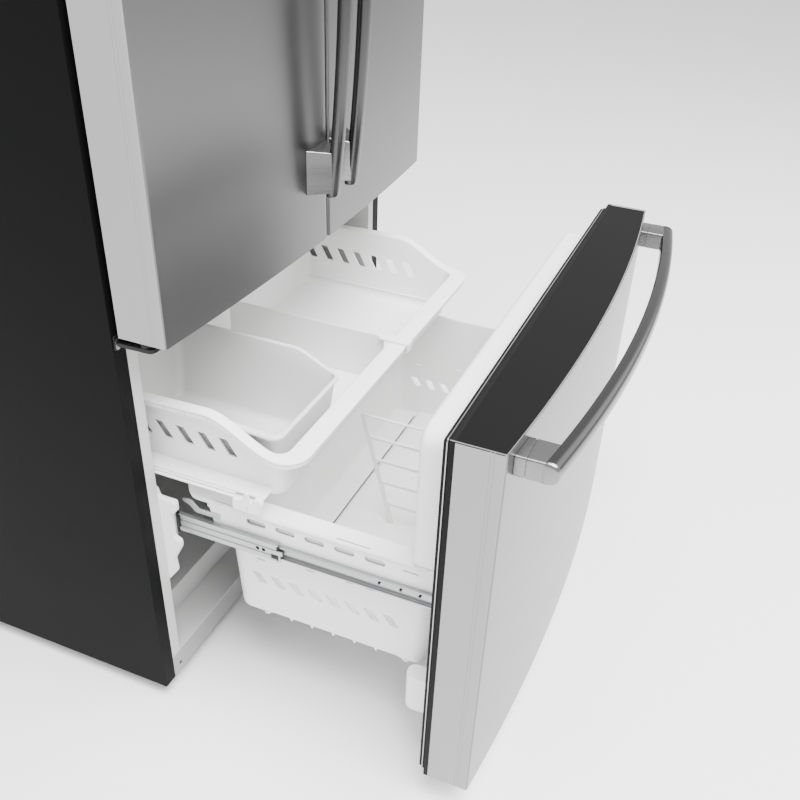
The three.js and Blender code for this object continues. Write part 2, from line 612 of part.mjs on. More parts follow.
function crisper() {
  const x0 = -INNER_HALF + LEDGE / 2, x1 = -4, z = FRESH_FLOOR + CLEAR;
  const rim = { x0, x1, y0: CRISPER_FRONT, y1: CRISPER_REAR, z: z + CRISPER_HEIGHT };
  const floor = { x0: x0 + 6, x1: x1 - 6, y0: CRISPER_FRONT + 6, y1: CRISPER_REAR - 12, z };
  const tub = tray(floor, rim, BASKET_WALL, 14);
  const grip = cut(
    prismX(rectangle(CRISPER_FRONT - 14, CRISPER_FRONT + 4, rim.z - 34, rim.z, 5), x0 + 60, x1 - 60, 3),
    box(x0, x1, CRISPER_FRONT - 9, CRISPER_FRONT - 1, rim.z - 40, rim.z - 8));
  return join(tub, grip);
}

// ---- Doors ----

// The crowned front of a door whose back plane is at y = back.
function frontOf(back, edge, crown) {
  return (x) => back - edge - crown * (1 - (x / HALF) ** 2);
}
const upperFront = frontOf(UPPER_DOOR_BACK, UPPER_DOOR_EDGE, UPPER_CROWN);
const freezerFront = frontOf(FREEZER_DOOR_BACK, FREEZER_DOOR_EDGE, FREEZER_CROWN);

// Plan of a door from x0 to x1, from its back plane round the crowned front, drawn inset by t.
function doorPlan(x0, x1, back, front, t, steps) {
  const a = x0 + t, b = x1 - t, r = DOOR_ROUND;
  const points = [[a, back], [a, front(a) + t + r], [a + r * 0.3, front(a) + t + r * 0.3]];
  for (let i = 0; i <= steps; i++) {
    const x = a + r + ((b - a - 2 * r) * i) / steps;
    points.push([x, front(x) + t]);
  }
  points.push([b - r * 0.3, front(b) + t + r * 0.3], [b, front(b) + t + r], [b, back]);
  return points;
}

function doorSkin(x0, x1, back, front, bottom, top, steps) {
  const outer = doorPlan(x0, x1, back, front, 0, steps);
  const inner = doorPlan(x0, x1, back, front, DOOR_STEEL, steps).reverse();
  return prismZ(outline([...outer, ...inner]), bottom, top);
}

function ringY(x0, x1, z0, z1, width, y0, y1, round) {
  return cut(prismY(rectangle(x0, x1, z0, z1, round), y0, y1, 2),
    prismY(rectangle(x0 + width, x1 - width, z0 + width, z1 - width, Math.max(round - width, 2)), y0 - 1, y1 + 1, 2));
}

// A gasket: a flat base against the door and two ribs towards the cabinet.
function gasket(x0, x1, z0, z1, back) {
  const y0 = back + CLEAR, y1 = back + DOOR_GAP - CLEAR, rib = GASKET_RIB, w = GASKET_WIDTH;
  const ribAt = (inset) => ringY(x0 + inset, x1 - inset, z0 + inset, z1 - inset, rib, y0 + 1, y1, 6);
  return join(ringY(x0, x1, z0, z1, w, y0, y0 + GASKET_BASE, 6), ribAt(2), ribAt(w - rib - 2));
}

const UPPER_DOOR = { x0: -DOOR_HALF, x1: -CENTRE_GAP / 2 };

function upperSkin() {
  return doorSkin(UPPER_DOOR.x0, UPPER_DOOR.x1, UPPER_DOOR_BACK, upperFront, UPPER_DOOR_BOTTOM, UPPER_DOOR_TOP, 8);
}

// The foamed core of an upper door with its liner's raised ring, pin holes and, on the left door, the
// ears that the flap turns in.
function upperCore(withEars) {
  const inset = DOOR_STEEL + CLEAR;
  const plan = doorPlan(UPPER_DOOR.x0, UPPER_DOOR.x1, UPPER_DOOR_BACK, upperFront, inset, 8);
  const slab = prismZ(outline(plan), UPPER_DOOR_BOTTOM + CLEAR, UPPER_DOOR_TOP - CLEAR);
  const dyke = dykeOf();
  const ring = ringY(dyke.x0, dyke.x1, dyke.z0, dyke.z1, DYKE_WALL, UPPER_DOOR_BACK - 2,
    UPPER_DOOR_BACK + DYKE_DEPTH, DYKE_ROUND);
  const hole = rod(PIN_RADIUS + CLEAR, -25, 25, 16);
  const holes = [UPPER_DOOR_BOTTOM, UPPER_DOOR_TOP].map((z) => hole.translate([HINGE_X, -HINGE_FORWARD, z]));
  const core = cut(join(slab, ring), holes);
  if (!withEars) return core;
  const flap = flapSpan();
  const ears = [[flap.z0 - CLEAR - 6, flap.z0 - CLEAR], [flap.z1 + CLEAR, flap.z1 + CLEAR + 6]].map(([z0, z1]) =>
    prismZ(outline([[FLAP_PIVOT_X - 6, UPPER_DOOR_BACK - 2], [FLAP_PIVOT_X + 6, UPPER_DOOR_BACK - 2],
      [FLAP_PIVOT_X + 6, FLAP_PIVOT_Y + 6], [FLAP_PIVOT_X - 6, FLAP_PIVOT_Y + 6]], 3), z0, z1, 1));
  const pins = ears.map((_, i) => rod(2.5 + CLEAR, -8, 8, 12)
    .translate([FLAP_PIVOT_X, FLAP_PIVOT_Y, i ? flap.z1 : flap.z0]));
  return cut(join(core, ...ears), pins);
}

function dykeOf() {
  return { x0: -INNER_HALF + DYKE_CLEAR, x1: -56, z0: FRESH_FLOOR + 12, z1: FRESH_CEILING - 12 };
}

function flapSpan() {
  return { z0: FRESH_FLOOR + 15, z1: FRESH_CEILING - 15 };
}

// The flap folded back: its hinge edge at the left door, its free edge towards the compartment.
function flap() {
  const { z0, z1 } = flapSpan(), t = FLAP_THICKNESS;
  const x0 = FLAP_PIVOT_X - t / 2, y0 = FLAP_PIVOT_Y - t / 2;
  const body = prismZ(rectangle(x0, x0 + t, y0, y0 + FLAP_WIDTH, 3), z0, z1, 2);
  return join(body, rod(2.5, z0 - 5, z1 + 5, 12).translate([FLAP_PIVOT_X, FLAP_PIVOT_Y, 0]));
}

function upperGasket() {
  return gasket(HINGE_X + 3, -8, FRESH_FLOOR - 38, FRESH_CEILING + 42, UPPER_DOOR_BACK);
}

// A door bin between the legs of the raised ring.
function doorBin(floorZ) {
  const dyke = dykeOf();
  const x0 = dyke.x0 + DYKE_WALL + CLEAR, x1 = dyke.x1 - DYKE_WALL - CLEAR;
  const y0 = UPPER_DOOR_BACK + CLEAR, y1 = y0 + DOOR_BIN_DEPTH;
  const floor = { x0: x0 + 4, x1: x1 - 4, y0: y0 + 2, y1: y1 - 8, z: floorZ };
  return tray(floor, { x0, x1, y0, y1, z: floorZ + DOOR_BIN_HEIGHT }, BIN_WALL, 14);
}

// One section of a bar handle: a flattened D whose flat side faces the door.
function barSection(width, thickness) {
  const w = width / 2, t = thickness;
  return [[-w * 0.72, 0], [w * 0.72, 0], [w, -t * 0.22], [w, -t * 0.52], [w * 0.84, -t * 0.8],
    [w * 0.5, -t * 0.96], [0, -t], [-w * 0.5, -t * 0.96], [-w * 0.84, -t * 0.8], [-w, -t * 0.52], [-w, -t * 0.22]];
}

// The upright bar of an upper door, bowed away from it, with a foot near each end.
function upperHandle() {
  const z0 = UPPER_DOOR_BOTTOM + BAR_END_INSET, z1 = UPPER_DOOR_TOP - BAR_END_INSET - 10;
  const middle = (z0 + z1) / 2, half = (z1 - z0) / 2, x = -BAR_OFF_CENTRE;
  const backAt = (z) => upperFront(x) - BAR_STANDOFF - BAR_BOW * (1 - ((z - middle) / half) ** 2);
  const steps = 12;
  const rings = Array.from({ length: steps + 1 }, (_, i) => {
    const z = z0 + ((z1 - z0) * i) / steps, back = backAt(z);
    return barSection(BAR_WIDTH, BAR_THICKNESS).map(([u, v]) => [x + u, back + v, z]);
  });
  const feet = [z0 + 8, z1 - 8 - FOOT_LENGTH].map((bottom) => {
    const root = upperFront(x) - CLEAR;
    const left = x - FOOT_WIDTH / 2 - 8, right = Math.min(x + FOOT_WIDTH / 2, -CENTRE_GAP / 2 - 3);
    const tip = Math.min(backAt(bottom), backAt(bottom + FOOT_LENGTH)) - 6;
    const w = BAR_WIDTH / 2 - 1, top = bottom + FOOT_LENGTH;
    return loft([
      [[left, root, bottom], [right, root, bottom], [right, root, top], [left, root, top]],
      [[x - w, tip, bottom], [x + w, tip, bottom], [x + w, tip, top - 6], [x - w, tip, top - 6]],
    ]);
  });
  return join(loft(rings), ...feet);
}

// ---- Freezer drawer ----

function freezerSkin() {
  return doorSkin(-DOOR_HALF, DOOR_HALF, FREEZER_DOOR_BACK, freezerFront, FREEZER_DOOR_BOTTOM, FREEZER_DOOR_TOP, 16);
}

function freezerCap() {
  const plan = doorPlan(-DOOR_HALF, DOOR_HALF, FREEZER_DOOR_BACK, freezerFront, DOOR_STEEL + CAP_DROP, 16);
  const top = FREEZER_DOOR_TOP - CAP_DROP;
  return prismZ(outline(plan), top - CAP_THICKNESS, top);
}

// The core with its liner's raised ring, open at both sides where the slides and the frame pass, and
// with a pocket on each side for the front of the rail bracket.
function freezerCore() {
  const plan = doorPlan(-DOOR_HALF, DOOR_HALF, FREEZER_DOOR_BACK, freezerFront, DOOR_STEEL + CLEAR, 16);
  const top = FREEZER_DOOR_TOP - CAP_DROP - CAP_THICKNESS - CLEAR;
  const slab = prismZ(outline(plan), FREEZER_DOOR_BOTTOM + CLEAR, top);
  const half = INNER_HALF - DYKE_CLEAR, y0 = FREEZER_DOOR_BACK - 2, y1 = FREEZER_DOOR_BACK + FREEZER_DYKE_DEPTH;
  const z0 = FREEZER_FLOOR + 33, z1 = FREEZER_CEILING - 8;
  const ring = ringY(-half, half, z0, z1, FREEZER_DYKE_WALL, y0, y1, DYKE_ROUND * 1.4);
  const footTop = SLIDE_CENTRE - 172;
  const gap = box(-half - 1, half + 1, FREEZER_DOOR_BACK, y1 + 1, footTop, BRACKET_TOP + 7);
  const bottomGap = box(-half + 46, half - 46, FREEZER_DOOR_BACK, y1 + 1, z0 - 1, footTop - 1);
  const pocketDepth = BRACKET_NOSE - DOOR_GAP + 4;
  const pocket = box(-INNER_HALF - 5, -INNER_HALF + BRACKET_THICKNESS + 8,
    FREEZER_DOOR_BACK - pocketDepth, y1, SLIDE_CENTRE - 142, SLIDE_CENTRE + 59);
  return cut(join(slab, cut(ring, gap, bottomGap)), pocket, pocket.mirror([1, 0, 0]));
}

function freezerGasket() {
  const x = HALF - 8;
  return gasket(-x, x, FREEZER_FLOOR - 16, FREEZER_CEILING + LIP + 4, FREEZER_DOOR_BACK);
}

// The bowed bar across the freezer door, on two-part feet near its ends.
function freezerHandle() {
  const half = HALF - FREEZER_BAR_END_INSET, thick = FREEZER_BAR_THICKNESS;
  const top = FREEZER_DOOR_TOP - FREEZER_BAR_TOP_INSET, middle = top - FREEZER_BAR_HEIGHT / 2;
  const root = freezerFront(half);
  const backAt = (x) => root - FREEZER_BAR_STANDOFF - FREEZER_BAR_BOW * (1 - (x / half) ** 2);
  const steps = 14;
  const rings = Array.from({ length: steps + 1 }, (_, i) => {
    const x = -half + (2 * half * i) / steps, back = backAt(x);
    return barSection(FREEZER_BAR_HEIGHT, thick).map(([u, v]) => [x, back + v, middle + u]);
  });
  const feet = [-half, half - FREEZER_FOOT_WIDTH].map((x0) => {
    const x1 = x0 + FREEZER_FOOT_WIDTH, h = FREEZER_BAR_HEIGHT / 2 - 1;
    const seam = root - FREEZER_BAR_STANDOFF * 0.42, tip = Math.max(backAt(x0), backAt(x1)) - 8;
    const ring = (ya, yb, d) => [[x0 + d, ya, middle - h + d], [x1 - d, yb, middle - h + d],
      [x1 - d, yb, middle + h - d], [x0 + d, ya, middle + h - d]];
    const near = loft([ring(freezerFront(x0) - CLEAR, freezerFront(x1) - CLEAR, 0), ring(seam, seam, 0)]);
    const past = seam - FOOT_SEAM;
    const neck = loft([ring(seam + 1, seam + 1, FOOT_SEAM), ring(past - 1, past - 1, FOOT_SEAM)]);
    const far = loft([ring(past, past, 0), ring(tip, tip, 0)]);
    return join(near, neck, far);
  });
  return join(loft(rings), ...feet);
}

// A C-channel in (x, z) about the slides' centre line: open towards +x, or towards -x when flipped.
function channel(x0, x1, halfHeight, flipped) {
  const t = SLIDE_STEEL, h = halfHeight, z = SLIDE_CENTRE;
  const c = flipped
    ? [[x1, z - h], [x1, z + h], [x0, z + h], [x0, z + h - t], [x1 - t, z + h - t], [x1 - t, z - h + t],
      [x0, z - h + t], [x0, z - h]]
    : [[x0, z - h], [x1, z - h], [x1, z - h + t], [x0 + t, z - h + t], [x0 + t, z + h - t], [x1, z + h - t],
      [x1, z + h], [x0, z + h]];
  return outline(c);
}

// Ball retainers: strips that fill the race above and below a member, with its balls showing as bumps.
function retainers(x0, x1, halfHeight, race, y0, y1) {
  const count = 5;
  return [1, -1].flatMap((s) => {
    const near = SLIDE_CENTRE + s * (halfHeight - SLIDE_STEEL / 2), far = SLIDE_CENTRE + s * (halfHeight + race);
    const low = Math.min(near, far), high = Math.max(near, far);
    const strip = box(x0 + 1, x1 - 1, y0, y1, low, high);
    const notches = Array.from({ length: count }, (_, i) => {
      const y = y0 + ((y1 - y0) * (i + 1)) / (count + 1);
      return box(x0, x0 + 2.2, y - 6, y + 6, low - 1, high + 1);
    });
    return [cut(strip, notches)];
  });
}

const OUTER_HALF = SLIDE_HEIGHT / 2;
const MIDDLE_HALF = OUTER_HALF - SLIDE_STEP;
const DRAWER_HALF = MIDDLE_HALF - SLIDE_STEP;
const RACE = SLIDE_STEP - SLIDE_STEEL - CLEAR;

function screwHoles(x, ys, radius = 3) {
  return ys.map((y) => rod(radius, -6, 6, 8).rotate([0, 90, 0]).translate([x, y, SLIDE_CENTRE]));
}

function slideOuter() {
  const y0 = SLIDE_START, y1 = y0 + SLIDE_LENGTH;
  const member = prismY(channel(SLIDE_X, SLIDE_X + SLIDE_DEPTH - 1.2, OUTER_HALF), y0, y1);
  const stop = box(SLIDE_X, SLIDE_X + 4, y1 - 4, y1, SLIDE_CENTRE - OUTER_HALF + 1, SLIDE_CENTRE + OUTER_HALF - 1);
  return cut(join(member, stop), screwHoles(SLIDE_X, [y0 + 55, y0 + 370]));
}

function slideMiddle() {
  const y0 = SLIDE_START + 45 - DRAWER_TRAVEL / 2, y1 = y0 + MIDDLE_LENGTH;
  const x0 = SLIDE_X + SLIDE_STEEL + 0.8, x1 = SLIDE_X + SLIDE_DEPTH - 1.8;
  const member = cut(prismY(channel(x0, x1, MIDDLE_HALF), y0, y1), screwHoles(x0, [y0 + 26, y0 + 37], 4));
  return join(member, ...retainers(x0, x1, MIDDLE_HALF, RACE, y0 + 250, y1 - 40));
}

function slideInner() {
  const y0 = FREEZER_DOOR_BACK + 3, y1 = y0 + SLIDE_LENGTH;
  const x0 = SLIDE_X + SLIDE_DEPTH - 7.7, x1 = SLIDE_X + SLIDE_DEPTH;
  const member = cut(prismY(channel(x0, x1, DRAWER_HALF, true), y0, y1),
    screwHoles(x1, [y0 + 50, y0 + 410], 2.5));
  return join(member, ...retainers(x0 - 0.5, x1 - 2.2, DRAWER_HALF, RACE, y1 - 190, y1 - 20));
}

// The white moulding on the liner's wall: a stepped plate that backs the slide and stands out of the
// cabinet at its front, and above it the channel that the upper basket's rail runs in.
function railBracket() {
  const x0 = -INNER_HALF + CLEAR, x1 = x0 + BRACKET_THICKNESS, y1 = FREEZER_STEP_BACK - 10;
  const n = -BRACKET_NOSE, c = SLIDE_CENTRE;
  const plate = prismX(outline([[6, BRACKET_TOP], [-6, c + 51], [n, c + 51], [n, c - 46], [n + 17, c - 79],
    [n + 15, c - 106], [6, c - 134], [78, c - 119], [100, c - 84], [190, c - 78], [214, c - 50],
    [y1, c - 42], [y1, BRACKET_TOP]], 6), x0, x1, 1);
  const t = 3, seat = UPPER_RAIL_TOP - 18 - CLEAR, y0 = upperChannelFront();
  const lipTop = UPPER_RAIL_TOP - 6 + t - CLEAR;
  const section = outline([[x0, BRACKET_TOP - 10], [x1, BRACKET_TOP - 10], [x1, seat - t],
    [UPPER_RAIL_X1 + 3, seat - t], [UPPER_RAIL_X1 + 3, seat], [x0 + t, seat], [x0 + t, lipTop - t],
    [UPPER_RAIL_X0 - CLEAR, lipTop - t], [UPPER_RAIL_X0 - CLEAR, lipTop], [x0 + t, lipTop],
    [x0 + t, UPPER_RAIL_TOP + 12], [x0, UPPER_RAIL_TOP + 12]]);
  return join(plate, prismY(section, y0, y1 + 10));
}

function upperChannelFront() {
  return FREEZER_DYKE_DEPTH;
}

const UPPER_RAIL_X0 = -INNER_HALF + BRACKET_THICKNESS - 0.4;
const UPPER_RAIL_X1 = UPPER_RAIL_X0 + 11;
const CLIP_THICKNESS = 3;

// The rail under the upper basket's ledge, with a fin in the channel and the clip at its front end.
function upperRail() {
  const x0 = UPPER_RAIL_X0, x1 = UPPER_RAIL_X1, top = UPPER_RAIL_TOP, bottom = top - 18;
  const y0 = UPPER_RAIL_FRONT, y1 = y0 + UPPER_RAIL_LENGTH, finTop = top - 6 - 2 * CLEAR;
  const section = outline([[x0 - 6.6, bottom], [x1, bottom], [x1, top], [x0, top], [x0, finTop], [x0 - 6.6, finTop]]);
  const rail = prismY(section, y0 + 48, y1);
  const clip = prismX(outline([[y0, bottom], [y0 + 49, bottom], [y0 + 49, top],
    [y0 + 30, top], [y0 + 26, top + 14], [y0 + 8, top + 18], [y0, top + 8]], 2), x0, x0 + CLIP_THICKNESS, 2);
  const block = box(x0 + 1, x1, y0 + 4, y0 + 49, bottom, top);
  return join(rail, clip, block);
}

// The U-shaped frame that carries the lower basket: two C-section sides with oval holes and slits, end
// plates against the door, and a rod across the rear.
function drawerFrame() {
  const x0 = FRAME_X, t = FRAME_STEEL, front = FREEZER_DOOR_BACK + CLEAR;
  const section = outline([[x0, FRAME_BOTTOM], [x0 + 9, FRAME_BOTTOM], [x0 + 9, FRAME_BOTTOM + t],
    [x0 + t, FRAME_BOTTOM + t], [x0 + t, FRAME_TOP - FRAME_SHOULDER - 1], [x0 + FRAME_LEDGE - 3, FRAME_TOP - t],
    [x0 + FRAME_LEDGE, FRAME_TOP - t], [x0 + FRAME_LEDGE, FRAME_TOP], [x0 + FRAME_LEDGE - 4, FRAME_TOP],
    [x0, FRAME_TOP - FRAME_SHOULDER]]);
  const hole = (y, halfLength, z, height) => prismX(
    rectangle(y - halfLength, y + halfLength, z, z + height, height / 2.1), x0 - 1, x0 + t + 1, 1);
  const ovalZ = FRAME_BOTTOM + 25.5, firstOval = FRAME_REAR - 90;
  const ovals = Array.from({ length: OVAL_COUNT }, (_, i) => hole(firstOval - i * OVAL_PITCH, OVAL_HALF, ovalZ, 9));
  const slit = hole(firstOval - OVAL_COUNT * OVAL_PITCH - 8, 13, ovalZ + 4, 3);
  const slope = prismX(outline([[FRAME_REAR - FRAME_END_SLOPE, FRAME_BOTTOM - 1], [FRAME_REAR + 1, FRAME_BOTTOM - 1],
    [FRAME_REAR + 1, FRAME_TOP]]), x0 - 1, x0 + FRAME_LEDGE + 1);
  const side = cut(prismY(section, front, FRAME_REAR), ovals, slit, slope);
  const plate = prismY(outline([[x0, SLIDE_CENTRE - 76], [x0 + 30, SLIDE_CENTRE - 76], [x0 + 40, FRAME_BOTTOM],
    [x0 + 40, FRAME_TOP - 20], [x0 + FRAME_LEDGE, FRAME_TOP], [x0 + FRAME_LEDGE - 4, FRAME_TOP],
    [x0, FRAME_TOP - FRAME_SHOULDER]]), front, front + t);
  const left = join(side, plate);
  const right = left.mirror([1, 0, 0]);
  const rear = prismX(rectangle(FRAME_REAR - 10, FRAME_REAR, FRAME_TOP - 27, FRAME_TOP - 17, 3), x0 + 1, -x0 - 1, 2);
  return join(left, right, rear);
}

// A slot that leans forward, cut through a side wall.
function leaningSlot(x0, x1, y, z, width, height, lean) {
  const w = width / 2, h = height / 2, s = lean / 2;
  return prismX(outline([[y - w - s, z - h], [y + w - s, z - h], [y + w + s, z + h], [y - w + s, z + h]]), x0, x1);
}

function lowerBasket() {
  const half = LOWER_BASKET_HALF, d = LOWER_BASKET_DRAFT, wall = BASKET_WALL;
  const top = FRAME_TOP + CLEAR + wall;
  const floor = { x0: -half + d, x1: half - d, y0: LOWER_BASKET_FRONT + d,
    y1: LOWER_BASKET_REAR - LOWER_BASKET_REAR_DRAFT, z: LOWER_BASKET_FLOOR };
  const rim = { x0: -half, x1: half, y0: LOWER_BASKET_FRONT, y1: LOWER_BASKET_REAR, z: top };
  const tub = tray(floor, rim, wall, 24);
  const edge = FRAME_X - wall, y0 = LOWER_BASKET_FRONT - 10, y1 = LOWER_BASKET_REAR + LOWER_FLANGE_REACH;
  const low = FRAME_TOP - FRAME_SHOULDER, ledge = FRAME_X + FRAME_LEDGE - 4;
  const skirt = prismY(outline([[edge, low], [FRAME_X - 0.5, low], [ledge - 0.5, FRAME_TOP + CLEAR],
    [ledge + 8, FRAME_TOP + CLEAR], [ledge + 8, top], [ledge - 2.5, top], [edge, low + 2.5]]), y0, y1);
  const sheet = join(box(ledge, -ledge, y0, y1, top - wall, top), skirt, skirt.mirror([1, 0, 0]));
  const corners = prismZ(rectangle(edge - 1, -edge + 1, y0, y1, 24), low - 1, top + 1, 3);
  const flange = cut(sheet.intersect(corners),
    prismZ(rectangle(-half + wall + 0.5, half - wall - 0.5, LOWER_BASKET_FRONT + wall + 0.5,
      LOWER_BASKET_REAR - wall - 0.5, 20), top - wall - 1, top + 1, 3));
  const slots = Array.from({ length: SLOT_COUNT }, (_, i) => {
    const y = LOWER_BASKET_REAR - 61 - i * SLOT_PITCH;
    return leaningSlot(-half - 9, half + 9, y, LOWER_BASKET_FLOOR + 81, SLOT_WIDTH, SLOT_HEIGHT, SLOT_LEAN);
  });
  const slits = [1, 3, 6, 7].map((i) => {
    const y = LOWER_BASKET_REAR - 61 - i * SLOT_PITCH;
    return box(-half - 9, half + 9, y - 8, y + 8, LOWER_BASKET_FLOOR + 120, LOWER_BASKET_FLOOR + 123);
  });
  const ribs = Array.from({ length: RIB_COUNT }, (_, i) => {
    const y = LOWER_BASKET_REAR - 124 - i * RIB_PITCH;
    return prismX(outline([[y - 4, LOWER_BASKET_FLOOR + 1], [y - 2, LOWER_BASKET_FLOOR - 9],
      [y + 2, LOWER_BASKET_FLOOR - 9], [y + 4, LOWER_BASKET_FLOOR + 1]]), -half + d + 20, half - d - 20);
  });
  return join(cut(join(tub, flange), slots, slits), ...ribs);
}

// A ladder-like divider standing in the lower basket, with a slanted rear edge.
function lowerDivider() {
  const floor = LOWER_BASKET_FLOOR + BASKET_WALL + CLEAR, top = FRAME_TOP - 8;
  const front = LOWER_BASKET_FRONT + LOWER_BASKET_DRAFT + BASKET_WALL + 4;
  const rearTop = LOWER_BASKET_REAR - 104, rearBottom = rearTop - 66, rows = 5, bar = 6;
  const x0 = -49, x1 = -45;
  const panel = prismX(outline([[front, floor], [rearBottom, floor], [rearTop, top], [front, top]]), x0, x1);
  const pitch = (top - floor) / rows;
  const windows = Array.from({ length: rows }, (_, i) => {
    const z0 = floor + i * pitch + bar / 2, z1 = floor + (i + 1) * pitch - bar / 2;
    const rearAt = (z) => rearBottom + ((rearTop - rearBottom) * (z - floor)) / (top - floor) - bar * 1.4;
    return prismX(outline([[front + bar, z0], [rearAt(z0), z0], [rearAt(z1), z1], [front + bar, z1]]),
      x0 - 1, x1 + 1);
  });
  return cut(panel, windows);
}

// The wavy top line of the upper basket in (y, z): low along the front, then up to the higher sides.
function upperRimLine(shift) {
  const low = UPPER_FRONT_TOP + shift, high = UPPER_SIDE_TOP + shift;
  const line = new THREE.CurvePath();
  const v = (y, z) => new THREE.Vector2(y, z);
  const bend = UPPER_FRONT + 12;
  line.add(new THREE.LineCurve(v(UPPER_FRONT - 60, low), v(bend, low)));
  line.add(new THREE.CubicBezierCurve(v(bend, low), v(bend + 50, low), v(bend + 60, high), v(bend + 125, high)));
  line.add(new THREE.LineCurve(v(bend + 125, high), v(UPPER_REAR + 60, high - 8)));
  return line.getPoints(5).map((p) => [p.x, p.y]).filter(([y], i, all) => !i || y > all[i - 1][0]);
}

function upperBasket() {
  const half = UPPER_HALF, d = UPPER_DRAFT, wall = BASKET_WALL;
  const high = UPPER_SIDE_TOP + 30;
  const slope = (high - UPPER_FLOOR) / (UPPER_SIDE_TOP - UPPER_FLOOR);
  const rimHalf = half - d + d * slope;
  const front = UPPER_FRONT + 20 - 20 * slope, rear = UPPER_REAR - 8 + 8 * slope;
  const floor = { x0: -half + d, x1: half - d, y0: UPPER_FRONT + 20, y1: UPPER_REAR - 8, z: UPPER_FLOOR };
  const rim = { x0: -rimHalf, x1: rimHalf, y0: front, y1: rear, z: high };
  const tub = tray(floor, rim, wall, 26);
  const line = upperRimLine(0), under = upperRimLine(-wall);
  const wide = half + 60;
  const above = prismX(outline([...line, [UPPER_REAR + 60, high + 60], [UPPER_FRONT - 60, high + 60]]), -wide, wide);
  const band = prismX(outline([...under, ...line.slice().reverse()].reverse()), -wide, wide);
  const lipOut = prismZ(rectangle(-half - UPPER_RIM, half + UPPER_RIM, UPPER_FRONT - UPPER_FRONT_RIM,
    UPPER_REAR + UPPER_RIM, 28), UPPER_FLOOR, high + 20, 3);
  const lipIn = prismZ(rectangle(-half + 1, half - 1, UPPER_FRONT + 1, UPPER_REAR - 1, 25),
    UPPER_FLOOR - 1, high + 21, 3);
  const lip = cut(band.intersect(lipOut), lipIn);
  const ledge = box(UPPER_RAIL_X0 + CLIP_THICKNESS + CLEAR, -half + d - 1, UPPER_FRONT + 34, UPPER_REAR - 14,
    UPPER_RAIL_TOP + CLEAR, UPPER_RAIL_TOP + CLEAR + wall);
  const slots = Array.from({ length: UPPER_SLOT_COUNT }, (_, i) => {
    const y = UPPER_REAR - 28 - i * UPPER_SLOT_PITCH, z = UPPER_FRONT_TOP - 15;
    return leaningSlot(-wide, wide, y, z, UPPER_SLOT_WIDTH, UPPER_SLOT_HEIGHT, UPPER_SLOT_LEAN);
  });
  return join(cut(tub, above, slots), lip, ledge, ledge.mirror([1, 0, 0]));
}

function upperDivider() {
  const floor = UPPER_FLOOR + BASKET_WALL + CLEAR, x0 = 34, x1 = 37;
  const rear = UPPER_REAR - 20, front = UPPER_FRONT + 24, over = UPPER_FRONT_TOP + CLEAR;
  const plate = prismX(outline([[front, floor], [rear, floor], [rear, UPPER_SIDE_TOP - 30],
    [front + 90, UPPER_SIDE_TOP - 30], [front + 8, over + 4], [front, over + 4]]), x0, x1);
  const clip = prismX(outline([[front + 6, over + 4], [UPPER_FRONT - UPPER_FRONT_RIM - 4, over + 4],
    [UPPER_FRONT - UPPER_FRONT_RIM - 4, over - 14], [UPPER_FRONT - UPPER_FRONT_RIM - 1, over - 14],
    [UPPER_FRONT - UPPER_FRONT_RIM - 1, over], [front + 6, over]]), x0 - 8, x1 + 8);
  return join(plate, clip);
}

// The ice bin: a deep tray at the left whose rim slopes down to the front.
function iceBin() {
  const z = UPPER_FLOOR + BASKET_WALL + CLEAR, rearTop = UPPER_FLOOR + 174, frontTop = UPPER_FLOOR + 124;
  const x0 = -UPPER_HALF + BASKET_WALL + 12, x1 = x0 + ICE_BIN_WIDTH, y0 = UPPER_FRONT + 27, y1 = UPPER_REAR - 30;
  const floor = { x0: x0 + 8, x1: x1 - 22, y0: y0 + 8, y1: y1 - 6, z };
  const tub = tray(floor, { x0, x1, y0, y1, z: rearTop + 10 }, BIN_WALL, 26);
  const above = prismX(outline([[y0 - 30, frontTop], [y0 + 60, frontTop + 4], [y0 + 170, rearTop - 4],
    [y1 + 30, rearTop], [y1 + 30, rearTop + 60], [y0 - 30, rearTop + 60]]), x0 - 30, x1 + 30);
  return cut(tub, above);
}

// ---- Assembly ----

const fridge = new THREE.Group();
const cabinet = new THREE.Group();
const leftDoor = new THREE.Group();
const rightDoor = new THREE.Group();
const freezerDrawer = new THREE.Group();
const basketGroup = new THREE.Group();
fridge.add(cabinet, leftDoor, rightDoor, freezerDrawer, basketGroup);

add(cabinet, "cabinet_shell", cabinetShell(), charcoalSteel);
add(cabinet, "back_panel", backPanel(), galvanised);
add(cabinet, "cabinet_foam", cabinetFoam(), foam);
add(cabinet, "fresh_food_liner", freshLiner(), white);
add(cabinet, "freezer_liner", freezerLiner(), white);
add(cabinet, "toe_rail", toeRail(), galvanised);
add(cabinet, "base_pan", basePan(), galvanised);
addPair(cabinet, "top_hinge", topHinge(), charcoal);
addPair(cabinet, "centre_hinge", centreHinge(), galvanised);
add(cabinet, "compressor", compressor(), black);
add(cabinet, "condenser", condenser(), black);
add(cabinet, "drain_pan", drainPan(), charcoal);
add(cabinet, "evaporator", evaporator(), aluminium);
add(cabinet, "evaporator_cover", evaporatorCover(), white);
addPair(cabinet, "rail_bracket", railBracket(), white);
addPair(cabinet, "slide_outer", slideOuter(), galvanised);
add(cabinet, "glass_shelf", shelf(GLASS_SHELF, 0), glass);
add(cabinet, "crisper_shelf", shelf(CRISPER_SHELF, 10), glass);
addPair(cabinet, "crisper", crisper(), clear);

